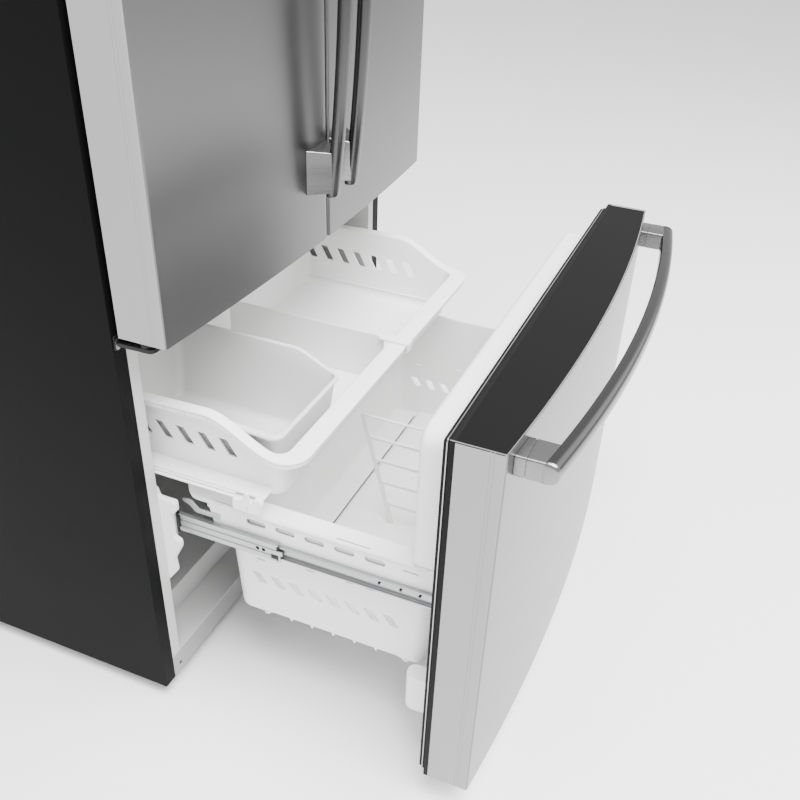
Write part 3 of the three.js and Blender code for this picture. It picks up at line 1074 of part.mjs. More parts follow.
const fanPlace = condenserFanPlace();
const condenserFan = add(cabinet, "condenser_fan", fan(CONDENSER_FAN_RADIUS, 5, 16), charcoal);
condenserFan.rotation.y = -Math.PI / 2;
condenserFan.position.set(fanPlace.x, fanPlace.y, fanPlace.z);
const evaporatorFan = add(cabinet, "evaporator_fan", fan(EVAPORATOR_FAN_RADIUS, 5, 14), charcoal);
evaporatorFan.rotation.x = -Math.PI / 2;
evaporatorFan.position.set(0, EVAPORATOR_COVER_Y + LINER + 6, EVAPORATOR_FAN_Z);

for (const [side, s] of [["left", -1], ["right", 1]]) {
  const wheel = add(cabinet, "rear_roller_" + side, roller(), white);
  wheel.rotation.y = Math.PI / 2;
  wheel.position.set(s * ROLLER_X, ROLLER_Y, ROLLER_RADIUS);
  const leg = add(cabinet, "levelling_leg_" + side, levellingLeg(), black);
  leg.position.set(s * LEG_X, LEG_Y, 0);
}

for (const [side, door, s] of [["left", leftDoor, 1], ["right", rightDoor, -1]]) {
  door.scale.x = s;
  add(door, side + "_door_skin", upperSkin(), stainless);
  add(door, side + "_door_core", upperCore(s > 0), white);
  add(door, side + "_door_gasket", upperGasket(), black);
  add(door, side + "_door_handle", upperHandle(), stainlessBar);
  add(door, side + "_bin_upper", doorBin(UPPER_BIN_FLOOR), clear);
  add(door, side + "_bin_lower", doorBin(LOWER_BIN_FLOOR), clear);
}
add(leftDoor, "flipper_mullion", flap(), charcoal);

add(freezerDrawer, "freezer_door_skin", freezerSkin(), stainless);
add(freezerDrawer, "freezer_door_cap", freezerCap(), charcoal);
add(freezerDrawer, "freezer_door_core", freezerCore(), white);
add(freezerDrawer, "freezer_door_gasket", freezerGasket(), black);
add(freezerDrawer, "freezer_door_handle", freezerHandle(), stainlessBar);
add(freezerDrawer, "drawer_frame", drawerFrame(), white);
add(freezerDrawer, "lower_basket", lowerBasket(), white);
add(freezerDrawer, "lower_divider", lowerDivider(), white);
addPair(freezerDrawer, "slide_inner", slideInner(), galvanised);
addPair(freezerDrawer, "slide_middle", slideMiddle(), galvanised);

add(basketGroup, "upper_basket", upperBasket(), white);
add(basketGroup, "upper_divider", upperDivider(), white);
add(basketGroup, "ice_bin", iceBin(), white);
addPair(basketGroup, "upper_rail", upperRail(), white);

// The origin goes on the floor, in the middle of the footprint with the drawer out.
const barEnd = freezerFront(HALF - FREEZER_BAR_END_INSET);
const foremost = barEnd - FREEZER_BAR_STANDOFF - FREEZER_BAR_BOW - FREEZER_BAR_THICKNESS;
fridge.position.y = -(foremost + DEPTH) / 2;

export default fridge;
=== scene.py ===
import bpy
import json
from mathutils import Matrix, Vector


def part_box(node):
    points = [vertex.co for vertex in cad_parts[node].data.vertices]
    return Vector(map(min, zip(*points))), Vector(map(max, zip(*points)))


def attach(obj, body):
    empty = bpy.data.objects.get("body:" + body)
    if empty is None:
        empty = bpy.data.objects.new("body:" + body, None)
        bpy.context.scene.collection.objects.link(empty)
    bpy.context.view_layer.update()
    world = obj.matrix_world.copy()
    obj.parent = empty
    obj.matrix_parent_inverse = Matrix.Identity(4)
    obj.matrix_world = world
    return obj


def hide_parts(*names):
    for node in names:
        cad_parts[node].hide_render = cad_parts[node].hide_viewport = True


bl_info = {
    "name": "Bottom Freezer Refrigerator",
    "version": (1, 0, 0),
    "blender": (4, 5, 0),
    "location": "View3D > Sidebar > Refrigerator",
    "description": "Builds the finished surfaces of a bottom freezer refrigerator round its packed model",
    "category": "Object",
}

import json
import math

import bmesh
import bpy
import numpy as np
from bpy.props import FloatProperty, FloatVectorProperty, PointerProperty
from mathutils import Matrix, Vector

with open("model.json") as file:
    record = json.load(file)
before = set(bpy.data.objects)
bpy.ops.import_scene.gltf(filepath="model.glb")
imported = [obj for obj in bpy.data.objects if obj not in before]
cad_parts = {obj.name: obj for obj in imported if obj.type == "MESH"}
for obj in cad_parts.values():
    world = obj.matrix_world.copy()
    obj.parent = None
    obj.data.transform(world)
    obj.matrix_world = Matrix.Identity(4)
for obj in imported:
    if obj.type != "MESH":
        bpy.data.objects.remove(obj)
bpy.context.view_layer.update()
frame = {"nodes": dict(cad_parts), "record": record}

# Sizes below are millimetres, with y from the cabinet's front and x from its middle.
MM = 0.001
CLEAR = 0.3  # between pieces that touch
QUARTER = np.pi / 2
SHARP = math.radians(32.0)  # faces that meet at more are shaded with an edge
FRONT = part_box("cabinet_shell")[0].y
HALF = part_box("cabinet_shell")[1].x / MM
BODY_OF = {node: body for body, nodes in frame["record"]["behaviour"]["bodies"].items() for node in nodes}
SLOT_OF = {part["node"]: part["material_slot"] for part in frame["record"]["subparts"]}
MATERIALS = {}


def extent(node):
    """A node's box as x0, x1, y0, y1, z0, z1."""
    low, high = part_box(node)
    return [round(v, 3) for v in (low.x / MM, high.x / MM, (low.y - FRONT) / MM, (high.y - FRONT) / MM,
                                  low.z / MM, high.z / MM)]


def size(name):
    """A size that the user may change, in millimetres."""
    return round(getattr(bpy.context.scene.fridge_sizes, name) / MM, 3)


# ---- Surfaces ----

def rounded_ring(x0, x1, y0, y1, radius, steps=6, side=0):
    """Points of a rounded rectangle, anticlockwise from the right side.

    Each corner is its centre plus radius times (cos, sin) over a quarter turn; each straight side
    gets side points, evenly spaced between the corners.
    """
    radius = min(radius, (x1 - x0) / 2.001, (y1 - y0) / 2.001)
    centres = np.array([[x1 - radius, y1 - radius], [x0 + radius, y1 - radius],
                        [x0 + radius, y0 + radius], [x1 - radius, y0 + radius]])
    turn = np.arange(4)[:, None] * QUARTER + np.linspace(0, QUARTER, steps + 1)[None, :]
    corners = centres[:, None, :] + radius * np.stack([np.cos(turn), np.sin(turn)], -1)
    if not side:
        return corners.reshape(-1, 2)
    share = np.linspace(0, 1, side + 2)[1:-1][None, :, None]
    ends = corners[:, -1:, :]
    starts = np.roll(corners[:, :1, :], -1, axis=0)
    return np.concatenate([corners, ends + (starts - ends) * share], axis=1).reshape(-1, 2)


def rings_of(levels, steps=6, side=0, wave=None):
    """Stacks rounded rectangles (x0, x1, y0, y1, radius, z, lift) as an array of rings.

    Height is z plus lift times wave(x, y), so a lift of 1 follows a wavy rim and 0 stays level.
    """
    stack = []
    for x0, x1, y0, y1, radius, z, lift in levels:
        flat = rounded_ring(x0, x1, y0, y1, radius, steps, side)
        rise = wave(flat[:, 0], flat[:, 1]) if wave else np.zeros(len(flat))
        stack.append(np.column_stack([flat, z + lift * rise]))
    return np.array(stack)


def lofted(rings, close_rows=False):
    """Vertices and faces of rings skinned in order, with a flat face on each end unless they close up."""
    rows, columns = rings.shape[:2]
    row, column = np.meshgrid(np.arange(rows if close_rows else rows - 1), np.arange(columns), indexing="ij")
    after, above = (column + 1) % columns, (row + 1) % rows
    quads = np.stack([row * columns + column, row * columns + after,
                      above * columns + after, above * columns + column], -1)
    faces = quads.reshape(-1, 4).tolist()
    if not close_rows:
        faces.append(list(range(columns))[::-1])
        faces.append(list(range((rows - 1) * columns, rows * columns)))
    return rings.reshape(-1, 3), faces


def upright(part):
    """Lays a surface drawn as (x, height, depth) on edge, so that its depth runs along -Y."""
    verts, faces = part
    return np.column_stack([verts[:, 0], -verts[:, 2], verts[:, 1]]), faces


def mirrored(parts):
    """The mirror image of parts across the middle plane."""
    return [(verts * np.array([-1.0, 1.0, 1.0]), [face[::-1] for face in faces]) for verts, faces in parts]


SIDES = (("left", list), ("right", mirrored))


def block(x0, x1, y0, y1, z0, z1, corner=1.0, edge=0.8, steps=4):
    """A box with rounded upright corners and rounded top and bottom edges.

    At angle a of the edge's quarter circle the ring is inset by edge (1 - sin a), edge (1 - cos a) from
    the end.
    """
    angles = np.linspace(0, QUARTER, steps)
    inset, rise = edge * (1 - np.sin(angles)), edge * (1 - np.cos(angles))
    bottom = [(x0 + i, x1 - i, y0 + i, y1 - i, max(corner - i, 0.1), z0 + r, 0) for i, r in zip(inset, rise)]
    top = [(a, b, c, d, r, z1 + z0 - z, 0) for a, b, c, d, r, z, _ in bottom[::-1]]
    return lofted(rings_of(bottom + top, steps))


def softened(points, radius, steps=4):
    """Rounds the corners of a closed outline.

    Between a and b, the points radius before and after corner p, it runs along the quadratic curve
    (1 - s)^2 a + 2 s (1 - s) p + s^2 b. A corner takes at most 0.45 of the sides that meet there.
    """
    corner = np.array(points, float)
    before, after = np.roll(corner, 1, axis=0) - corner, np.roll(corner, -1, axis=0) - corner
    length_before = np.linalg.norm(before, axis=1, keepdims=True)
    length_after = np.linalg.norm(after, axis=1, keepdims=True)
    reach = np.minimum(radius, 0.45 * np.minimum(length_before, length_after))
    a, b = corner + before / length_before * reach, corner + after / length_after * reach
    s = np.linspace(0, 1, steps + 1)[None, :, None]
    curve = (1 - s) ** 2 * a[:, None] + 2 * s * (1 - s) * corner[:, None] + s ** 2 * b[:, None]
    return curve.reshape(-1, 2)


def swept(profile, stations, axis):
    """A closed outline (a, b) carried straight along an axis through the given stations."""
    rows = []
    for station in stations:
        fixed = np.full(len(profile), float(station))
        a, b = profile[:, 0], profile[:, 1]
        rows.append(np.column_stack({"x": [fixed, a, b], "y": [a, fixed, b], "z": [a, b, fixed]}[axis]))
    return lofted(np.array(rows))


def rod(start, end, radius, sides=24, edge=0.0):
    """A round bar between two points, its ends rounded by edge: circles about the line that joins them."""
    start, end = np.array(start, float), np.array(end, float)
    along = end - start
    length = np.linalg.norm(along)
    along /= length
    across = np.cross(along, [0.0, 0.0, 1.0] if abs(along[2]) < 0.9 else [1.0, 0.0, 0.0])
    across /= np.linalg.norm(across)
    turn = np.linspace(0, 2 * np.pi, sides, endpoint=False)
    circle = np.cos(turn)[:, None] * across + np.sin(turn)[:, None] * np.cross(along, across)
    stations = [(0, radius), (length, radius)]
    if edge:
        near = [(0, radius - edge), (edge * 0.3, radius - edge * 0.3), (edge, radius)]
        stations = near + [(length - d, r) for d, r in near[::-1]]
    return lofted(np.array([start + along * d + circle * r for d, r in stations]))


def extruded(corners, radius, axis, ends, at=(0, 0), steps=4):
    """A straight piece along an axis, whose outline is corners measured from at, softened by radius."""
    return swept(softened(np.array(corners, float) + at, radius, steps), ends, axis)


def upright_rod(x, y, z0, z1, radius, sides=24, edge=0.0):
    """A round bar that stands at (x, y)."""
    return rod((x, y, z0), (x, y, z1), radius, sides, edge)


def picture_frame(x0, x1, z0, z1, width, y0, y1, corner, edge):
    """A rounded frame standing out from y0 to y1, whose two outer edges are quarter circles.

    At angle a the outer edge is inset by edge (1 - cos a) and stands edge sin a past its straight side.
    """
    turn = np.linspace(0, QUARTER, 6)
    section = [(0.0, y0)]
    section += [(edge * (1 - np.cos(a)), y1 - edge * (1 - np.sin(a))) for a in turn]
    section += [(width - edge * (1 - np.sin(a)), y1 - edge * (1 - np.cos(a))) for a in turn]
    section += [(width, y0)]
    levels = [(x0 + i, x1 - i, z0 + i, z1 - i, max(corner - i, 1.0), -y, 0) for i, y in section]
    return upright(lofted(rings_of(levels, 8), close_rows=True))


GROOVE = (0.8, 2.2)  # heights of a lip's groove, below the flange's upper edge


def tub(floor, rim, wall, corner, bend, flange=(0, 0, 0, 0), drop=0.0, wave=None, lift_from=None, side=0,
        lip=0.0, rounder=None):
    """A thin-walled tub with a lip, skinned from rounded rectangles.

    At height z its rectangle is floor + (rim - floor) t, with t = (z - floor z) / (rim z - floor z). The
    bend into the floor is a quarter circle, inset by bend (1 - sin a) at height bend (1 - cos a). Above
    lift_from the rings follow wave(x, y) more and more, and in full at the rim. Where lip is given, a
    groove twice as deep parts the flange's upper edge from the apron that hangs from it. The flange's
    corners are rounder than the wall's by its rear width, or by rounder where that is given.
    """
    low, high, z0, z1 = np.array(floor[:4]), np.array(rim[:4]), floor[4], rim[4]
    inward, flange = np.array([1, -1, 1, -1]), np.array(flange, float)
    start = z1 if lift_from is None else lift_from
    rounder = flange[3] if rounder is None else rounder

    def level(z, inset, out=0.0, lift=None):
        """The rectangle at height z, drawn in by inset and out by a share of the flange."""
        edges = low + (high - low) * (z - z0) / (z1 - z0) + inward * (inset - flange * out)
        if lift is None:
            lift = 0.0 if wave is None else min(max((z - start) / (z1 - wall - start), 0.0), 1.0)
        return (*edges, max(corner - inset + rounder * out, 1.0), z, lift)

    up = np.linspace(0, QUARTER, 6)
    inner = max(bend - wall, 1.0)
    rises = [] if wave is None else list(np.linspace(start, z1 - wall, 5)[:-1])
    levels = [level(z0 + bend * (1 - np.cos(a)), bend * (1 - np.sin(a))) for a in up]
    levels += [level(z, 0.0) for z in rises]
    half = wall / 2
    if flange.any():
        fall = max(drop, wall)
        levels += [level(z1 - wall, 0.0, lift=1)]
        if drop > wall:
            inside = wall + 2 * lip
            levels += [level(z1 - wall, inside, 1, 1), level(z1 - fall, inside, 1, 1)]
        levels += [level(z1 - fall, lip / 3, 1, 1)]
        if lip:
            above, below = (z1 - wall - depth for depth in GROOVE)
            levels += [level(below, lip / 3, 1, 1), level(below, 2 * lip, 1, 1), level(above, 2 * lip, 1, 1),
                       level(above, 0.0, 1, 1)]
        levels += [level(z1 - wall + wall * np.sin(a), wall * (1 - np.cos(a)), 1, 1) for a in up]
        levels += [level(z1 - wall * (1 - np.cos(a)), wall * np.sin(a), 0, 1) for a in up]
    else:
        arc = np.linspace(0, np.pi, 9)
        levels += [level(z1 - half + half * np.sin(a), half - half * np.cos(a), 0, 1) for a in arc]
    levels += [level(z, wall) for z in rises[::-1]]
    levels += [level(z0 + wall + inner * (1 - np.cos(a)), wall + inner * (1 - np.sin(a))) for a in up[::-1]]
    return lofted(rings_of(levels, 8, side, wave))


def leaning_slot(x0, x1, y, z, width, height, lean, corner=1.2):
    """The space of a slot through a side wall: a rounded rectangle sheared by y + lean (z / height)."""
    ring = rounded_ring(-width / 2, width / 2, -height / 2, height / 2, corner, 3)
    ring[:, 0] += lean * ring[:, 1] / height
    return swept(ring + [y, z], [x0, x1], "x")


def long_hole(y0, y1, z0, z1, x0, x1):
    """The space of a hole with round ends through a side wall."""
    return swept(rounded_ring(y0, y1, z0, z1, (z1 - z0) / 2.05, 6), [x0, x1], "x")


# ---- Objects ----

def mesh_of(name, parts):
    """A mesh in metres, in its place, from (verts, faces) pairs in millimetres."""
    verts, faces, start = [], [], 0
    for points, polygons in parts:
        verts.append(points)
        faces += [[start + i for i in face] for face in polygons]
        start += len(points)
    mesh = bpy.data.meshes.new(name)
    mesh.from_pydata((np.concatenate(verts) * MM + [0, FRONT, 0]).tolist(), [], faces)
    work = bmesh.new()
    work.from_mesh(mesh)
    bmesh.ops.recalc_face_normals(work, faces=work.faces)
    work.to_mesh(mesh)
    work.free()
    return mesh


def placed(name, data):
    """A new object in the scene."""
    thing = bpy.data.objects.new(name, data)
    bpy.context.scene.collection.objects.link(thing)
    return thing


def make(name, parts, material, node, cuts=(), behind=None, own=None):
    """One finished piece, less its cuts, which stands for a node and takes its body.

    With behind given as (material, y), the faces further back than y take that second material. With
    own given as (body, slot), the piece stands for no node.
    """
    piece = placed(name, mesh_of(name, parts))
    if cuts:
        cut_away(piece, cuts)
    mesh = piece.data
    mesh.polygons.foreach_set("use_smooth", np.ones(len(mesh.polygons), bool))
    mesh.set_sharp_from_angle(angle=SHARP)
    mesh.update()
    mesh.materials.append(MATERIALS[material])
    if behind:
        mesh.materials.append(MATERIALS[behind[0]])
        centres = np.empty(len(mesh.polygons) * 3)
        mesh.polygons.foreach_get("center", centres)
        rearward = centres.reshape(-1, 3)[:, 1] > FRONT + behind[1] * MM
        mesh.polygons.foreach_set("material_index", rearward.astype(np.int32))
    body, slot = own or (BODY_OF[node], SLOT_OF[node])
    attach(piece, body)
    if not own:
        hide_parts(node)


def on_both_sides(name, parts, material, node, cuts=()):
    """The left piece and its mirror image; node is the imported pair's name, or a name that both share."""
    for side, place in SIDES:
        stood_for = node if node in frame["nodes"] else node + "_" + side
        make(name + "_" + side, place(parts), material, stood_for, place(cuts) if cuts else ())


def cut_away(piece, parts):
    """Takes the space of (verts, faces) pairs out of a piece."""
    cutter = placed("cutter", mesh_of("cutter", parts))
    cut = piece.modifiers.new("cut", "BOOLEAN")
    cut.operation = "DIFFERENCE"
    cut.solver = "EXACT"
    cut.use_self = True
    cut.object = cutter
    bpy.context.view_layer.update()
    result = bpy.data.meshes.new_from_object(piece.evaluated_get(bpy.context.evaluated_depsgraph_get()))
    piece.modifiers.remove(cut)
    solid, waste = piece.data, cutter.data
    piece.data = result
    result.name = piece.name
    bpy.data.objects.remove(cutter)
    bpy.data.meshes.remove(waste)
    bpy.data.meshes.remove(solid)


# ---- Materials ----

def give(node, values):
    """Sets a node's sockets by name."""
    for socket, value in values.items():
        node.inputs[socket].default_value = value


def principled(name, color, roughness, metallic=0.0):
    """A new material with its shader set; returns its node tree and shader."""
    material = bpy.data.materials.new(name)
    material.use_nodes = True
    shader = material.node_tree.nodes["Principled BSDF"]
    give(shader, {"Base Color": (*color, 1), "Roughness": roughness, "Metallic": metallic})
    MATERIALS[name] = material
    return material.node_tree, shader


def pattern(tree, scale, detail=3.0, stretch=(1, 1, 1)):
    """Noise on Object coordinates, stretched by a Mapping node; returns its factor."""
    nodes, links = tree.nodes, tree.links
    coordinates = nodes.new("ShaderNodeTexCoord")
    mapping = nodes.new("ShaderNodeMapping")
    give(mapping, {"Scale": stretch})
    noise = nodes.new("ShaderNodeTexNoise")
    give(noise, {"Scale": scale, "Detail": detail})
    links.new(coordinates.outputs["Object"], mapping.inputs["Vector"])
    links.new(mapping.outputs["Vector"], noise.inputs["Vector"])
    return noise.outputs["Fac"]


def ranged(tree, factor, low, high):
    """Maps a factor's usual range, 0.3 to 0.7, onto low to high."""
    node = tree.nodes.new("ShaderNodeMapRange")
    give(node, {"From Min": 0.3, "From Max": 0.7, "To Min": low, "To Max": high})
    tree.links.new(factor, node.inputs["Value"])
    return node.outputs["Result"]


def tinted(tree, factor, color, spread):
    """Mixes a slightly darker and lighter shade of a colour by a factor."""
    mix = tree.nodes.new("ShaderNodeMix")
    mix.data_type = "RGBA"
    darker, lighter = [c * (1 - spread) for c in color], [min(1.0, c * (1 + spread)) for c in color]
    mix.inputs["A"].default_value = (*darker, 1)
    mix.inputs["B"].default_value = (*lighter, 1)
    tree.links.new(factor, mix.inputs["Factor"])
    return mix.outputs["Result"]


def relief(tree, shader, factor, strength, distance, round_edge=0.0):
    """Bump from a factor, over edges rounded to a radius so that they catch the light."""
    bump = tree.nodes.new("ShaderNodeBump")
    give(bump, {"Strength": strength, "Distance": distance})
    tree.links.new(factor, bump.inputs["Height"])
    if round_edge:
        edge = tree.nodes.new("ShaderNodeBevel")
        edge.samples = 4
        give(edge, {"Radius": round_edge})
        tree.links.new(edge.outputs["Normal"], bump.inputs["Normal"])
    tree.links.new(bump.outputs["Normal"], shader.inputs["Normal"])


def brushed(name, color, roughness, stretch, edge=0.0, depth=0.02 * MM):
    """Brushed metal: noise drawn out along the brushing, in roughness, shade and relief."""
    tree, shader = principled(name, color, roughness, 1.0)
    fine = pattern(tree, 1.0, 4.0, stretch)
    broad = pattern(tree, 5.0, 2.0)
    tree.links.new(ranged(tree, fine, roughness - 0.02, roughness + 0.03), shader.inputs["Roughness"])
    tree.links.new(tinted(tree, broad, color, 0.02), shader.inputs["Base Color"])
    relief(tree, shader, fine, 0.04, depth, edge)


def moulded(name, color, roughness, grain_scale, grain_depth, edge=0.8 * MM, spread=0.015, gloss=0.5):
    """Moulded plastic or powder paint: faint grain in relief, faint mottling in shade and gloss."""
    tree, shader = principled(name, color, roughness)
    give(shader, {"Specular IOR Level": gloss})
    grain = pattern(tree, grain_scale, 2.0)
    broad = pattern(tree, 8.0, 3.0)
    tree.links.new(tinted(tree, broad, color, spread), shader.inputs["Base Color"])
    tree.links.new(ranged(tree, broad, roughness - 0.01, roughness + 0.01), shader.inputs["Roughness"])
    relief(tree, shader, grain, 0.3, grain_depth, edge)


def see_through(name, color, roughness, transmission, ior):
    """Glass or clear plastic, with faint smears in its gloss."""
    tree, shader = principled(name, color, roughness)
    give(shader, {"Transmission Weight": transmission, "IOR": ior})
    smear = pattern(tree, 12.0, 3.0)
    tree.links.new(ranged(tree, smear, roughness, roughness + 0.05), shader.inputs["Roughness"])
    relief(tree, shader, smear, 0.05, 0.05 * MM, 0.6 * MM)


def make_materials(colours):
    """Every finish of the refrigerator, and the darker and lighter copies of some that are painted shade and
    painted reflection.
    """
    steel, plastic, side = tuple(colours.stainless), tuple(colours.plastic), tuple(colours.door_side)

    def shade(color, share):
        """A colour times a share."""
        return tuple(c * share for c in color)

    upright_grain, cross_grain = (700, 700, 6), (6, 700, 700)
    brushed("stainless", steel, 0.3, (3, 3, 900))
    # painted shade: both handle bars take a copy of the doors' stainless at 0.48 of its brightness
    brushed("stainless_bar", shade(steel, 0.48), 0.24, upright_grain)
    brushed("stainless_cross_bar_painted_shade", shade(steel, 0.48), 0.24, cross_grain)
    # painted reflection: the handle feet take a copy of the stainless 1.3 times as bright, for the white
    # surroundings they mirror
    brushed("stainless_foot_painted_reflection", shade(steel, 1.3), 0.26, (3, 3, 900), 0.8 * MM)
    brushed("zinc", (0.40, 0.405, 0.41), 0.36, (40, 8, 40), 0.4 * MM)
    brushed("bare_aluminium", (0.62, 0.63, 0.64), 0.42, (60, 60, 60), 0.3 * MM)
    moulded("charcoal_paint", tuple(colours.cabinet), 0.5, 900.0, 0.08 * MM, gloss=0.04)
    moulded("charcoal_plastic", tuple(colours.cap), 0.5, 1200.0, 0.05 * MM, gloss=0.05)
    moulded("white_plastic", plastic, 0.38, 500.0, 0.02 * MM, 1.2 * MM)
    # painted shade: the freezer's liner is the white plastic at 0.55, for the shade inside the compartment
    moulded("liner_painted_shade", shade(plastic, 0.55), 0.45, 500.0, 0.02 * MM, 1.2 * MM)
    # painted shade: the ice bin is the white plastic at 0.75, for the shade between it and the basket's
    # slotted wall
    moulded("bin_painted_shade", shade(plastic, 0.75), 0.4, 500.0, 0.02 * MM, 1.0 * MM)
    moulded("door_side", side, 0.42, 900.0, 0.02 * MM)
    moulded("sill_paint", side, 0.45, 900.0, 0.02 * MM)
    moulded("black_rubber", (0.006, 0.006, 0.006), 0.65, 700.0, 0.05 * MM, 0.5 * MM, gloss=0.1)
    moulded("black_paint", (0.006, 0.006, 0.0064), 0.35, 60.0, 0.05 * MM, gloss=0.2)
    moulded("pale_foam", (0.66, 0.64, 0.57), 0.85, 260.0, 0.6 * MM, 0.0, 0.08)
    see_through("shelf_glass", (0.86, 0.95, 0.93), 0.02, 1.0, 1.5)
    see_through("clear_bin", (0.92, 0.96, 0.98), 0.12, 0.85, 1.45)


FINISH_OF_SLOT = {
    "charcoal_steel": "charcoal_paint", "galvanised": "zinc", "stainless": "stainless",
    "stainless_bar": "stainless_bar", "white_plastic": "white_plastic",
    "charcoal_plastic": "charcoal_plastic", "black_rubber": "black_rubber", "foam": "pale_foam",
    "tempered_glass": "shelf_glass", "clear_plastic": "clear_bin", "aluminium": "bare_aluminium",
    "black_steel": "black_paint",
}
# The freezer liner takes painted shade; the sill takes its own light grey paint.
FINISH_OF_NODE = {"freezer_liner": "liner_painted_shade", "toe_rail": "sill_paint"}


def dress_nodes():
    """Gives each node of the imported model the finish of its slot, or its own where that differs."""
    for node, slot in SLOT_OF.items():
        mesh = frame["nodes"][node].data
        mesh.materials.clear()
        mesh.materials.append(MATERIALS[FINISH_OF_NODE.get(node, FINISH_OF_SLOT[slot])])


# ---- Doors ----

SKIN_STEEL = 1.0
SKIN_ROUND = 4.0
STEEL_WRAP = 1.5  # how far the brushed finish goes round the front corner
SEAM_DEPTH, SEAM_HALF = 0.5, 0.8
SEAMS = (13.0, 18.0)  # behind the front corner
UPPER = extent("left_door_skin")
FREEZER = extent("freezer_door_skin")
UPPER_EDGE, UPPER_CROWN = 77.3, 17.5
FREEZER_EDGE, FREEZER_CROWN = 75.0, 26.7
RING_X = 394.0  # outer side of the raised rings on the doors' liners
RING_SINK = 2.0  # of the rings, into the doors
HINGE_X, HINGE_Y = -440.0, -50.0  # axis of the left upper door


def upper_front(x):
    """The front of an upper door: back - edge - crown (1 - (x / half)^2)."""
    return UPPER[3] - UPPER_EDGE - UPPER_CROWN * (1 - (x / HALF) ** 2)


def freezer_front(x):
    """The front of the freezer door: back - edge - crown (1 - (x / half)^2)."""
    return FREEZER[3] - FREEZER_EDGE - FREEZER_CROWN * (1 - (x / HALF) ** 2)


def door_path(x0, x1, back, front, inset, seams=(), steps=48):
    """Plan of a door from its back, round the crowned front and to its back, drawn inset.

    Each front corner is a quarter circle of SKIN_ROUND - inset, and each side has a shallow V at every
    seam, a distance behind that corner.
    """
    radius = SKIN_ROUND - inset
    turn = np.linspace(0, QUARTER, 7)
    a, b = x0 + inset, x1 - inset
    left_y, right_y = front(x0 + SKIN_ROUND) + inset, front(x1 - SKIN_ROUND) + inset
    left = np.column_stack([a + radius * (1 - np.cos(turn)), left_y + radius * (1 - np.sin(turn))])
    right = np.column_stack([b - radius * (1 - np.sin(turn)), right_y + radius * (1 - np.cos(turn))])
    across = np.linspace(x0 + SKIN_ROUND, x1 - SKIN_ROUND, steps + 2)[1:-1]
    middle = np.column_stack([across, front(across) + inset])
    vee = np.array([[s + d, SEAM_DEPTH * (d == 0)] for s in seams for d in (-SEAM_HALF, 0, SEAM_HALF)])
    vee = vee.reshape(-1, 2)
    left_side = np.column_stack([a + vee[::-1, 1], left_y + radius + vee[::-1, 0]])
    right_side = np.column_stack([b - vee[:, 1], right_y + radius + vee[:, 0]])
    return np.concatenate([[[a, back]], left_side, left, middle, right, right_side, [[b, back]]])


def door_skin(box, front):
    """A bent sheet: the door's plan and its inset copy closed into one outline and drawn up."""
    x0, x1, _, back, z0, z1 = box
    outer = door_path(x0, x1, back, front, 0.0, SEAMS)
    inner = door_path(x0, x1, back, front, SKIN_STEEL)[::-1]
    return swept(np.concatenate([outer, inner]), [z0, z1], "z")


def door_slab(box, front, z0, z1):
    """The door's filling, in the plan of the skin drawn inset."""
    plan = door_path(box[0], box[1], box[3], front, SKIN_STEEL + CLEAR)
    return swept(plan, [z0, z1], "z")


def gasket_rings(box):
    """A gasket's flat base and its two ribs."""
    x0, x1, y0, y1, z0, z1 = box
    width, rib, margin = 22.0, 5.0, 2.0
    rings = [picture_frame(x0, x1, z0, z1, width, y0, y0 + 4.0, 6.0, 1.0)]
    for i in (margin, width - rib - margin):
        rings.append(picture_frame(x0 + i, x1 - i, z0 + i, z1 - i, rib, y0 + 1.0, y1, 5.0, 2.4))
    return rings


def bar_section(width, thickness, count=28):
    """A bar's section, flat at the back and full at the front.

    Round an angle a, u = w / 2 |cos a|^0.62 with the sign of cos a. With s = |sin a|^0.8 and its sign, the
    depth is t (0.26 - 0.26 s) on the back half and t (0.26 - 0.74 s) on the front half.
    """
    turn = np.linspace(0, 2 * np.pi, count, endpoint=False)
    cos, sin = np.cos(turn), np.sin(turn)
    u = width / 2 * np.sign(cos) * np.abs(cos) ** 0.62
    v = np.sign(sin) * np.abs(sin) ** 0.8
    return u, np.where(v < 0, -v * 0.74 + 0.26, 0.26 * (1 - v)) * -thickness


def bar_rings(width, thickness, back_at, centre, span, ends, shares, margin, count, axis):
    """Rings of a bar along an axis through a span, with its back at back_at(station).

    Near each end, at the distances in ends, the section shrinks about its middle to the shares given.
    """
    (start, end), ends, shares = span, np.array(ends), np.array(shares)
    between = np.linspace(start + margin, end - margin, count)
    stations = np.concatenate([start + ends, between, end - ends[::-1]])
    shares = np.concatenate([shares, np.ones(count), shares[::-1]])
    u, v = bar_section(width, thickness)
    rings = []
    for station, share in zip(stations, shares):
        along, across = np.full(len(u), station), centre + u * share
        depth = back_at(station) - thickness / 2 + (v + thickness / 2) * share
        rings.append(np.column_stack([along, depth, across] if axis == "x" else [across, depth, along]))
    return np.array(rings)


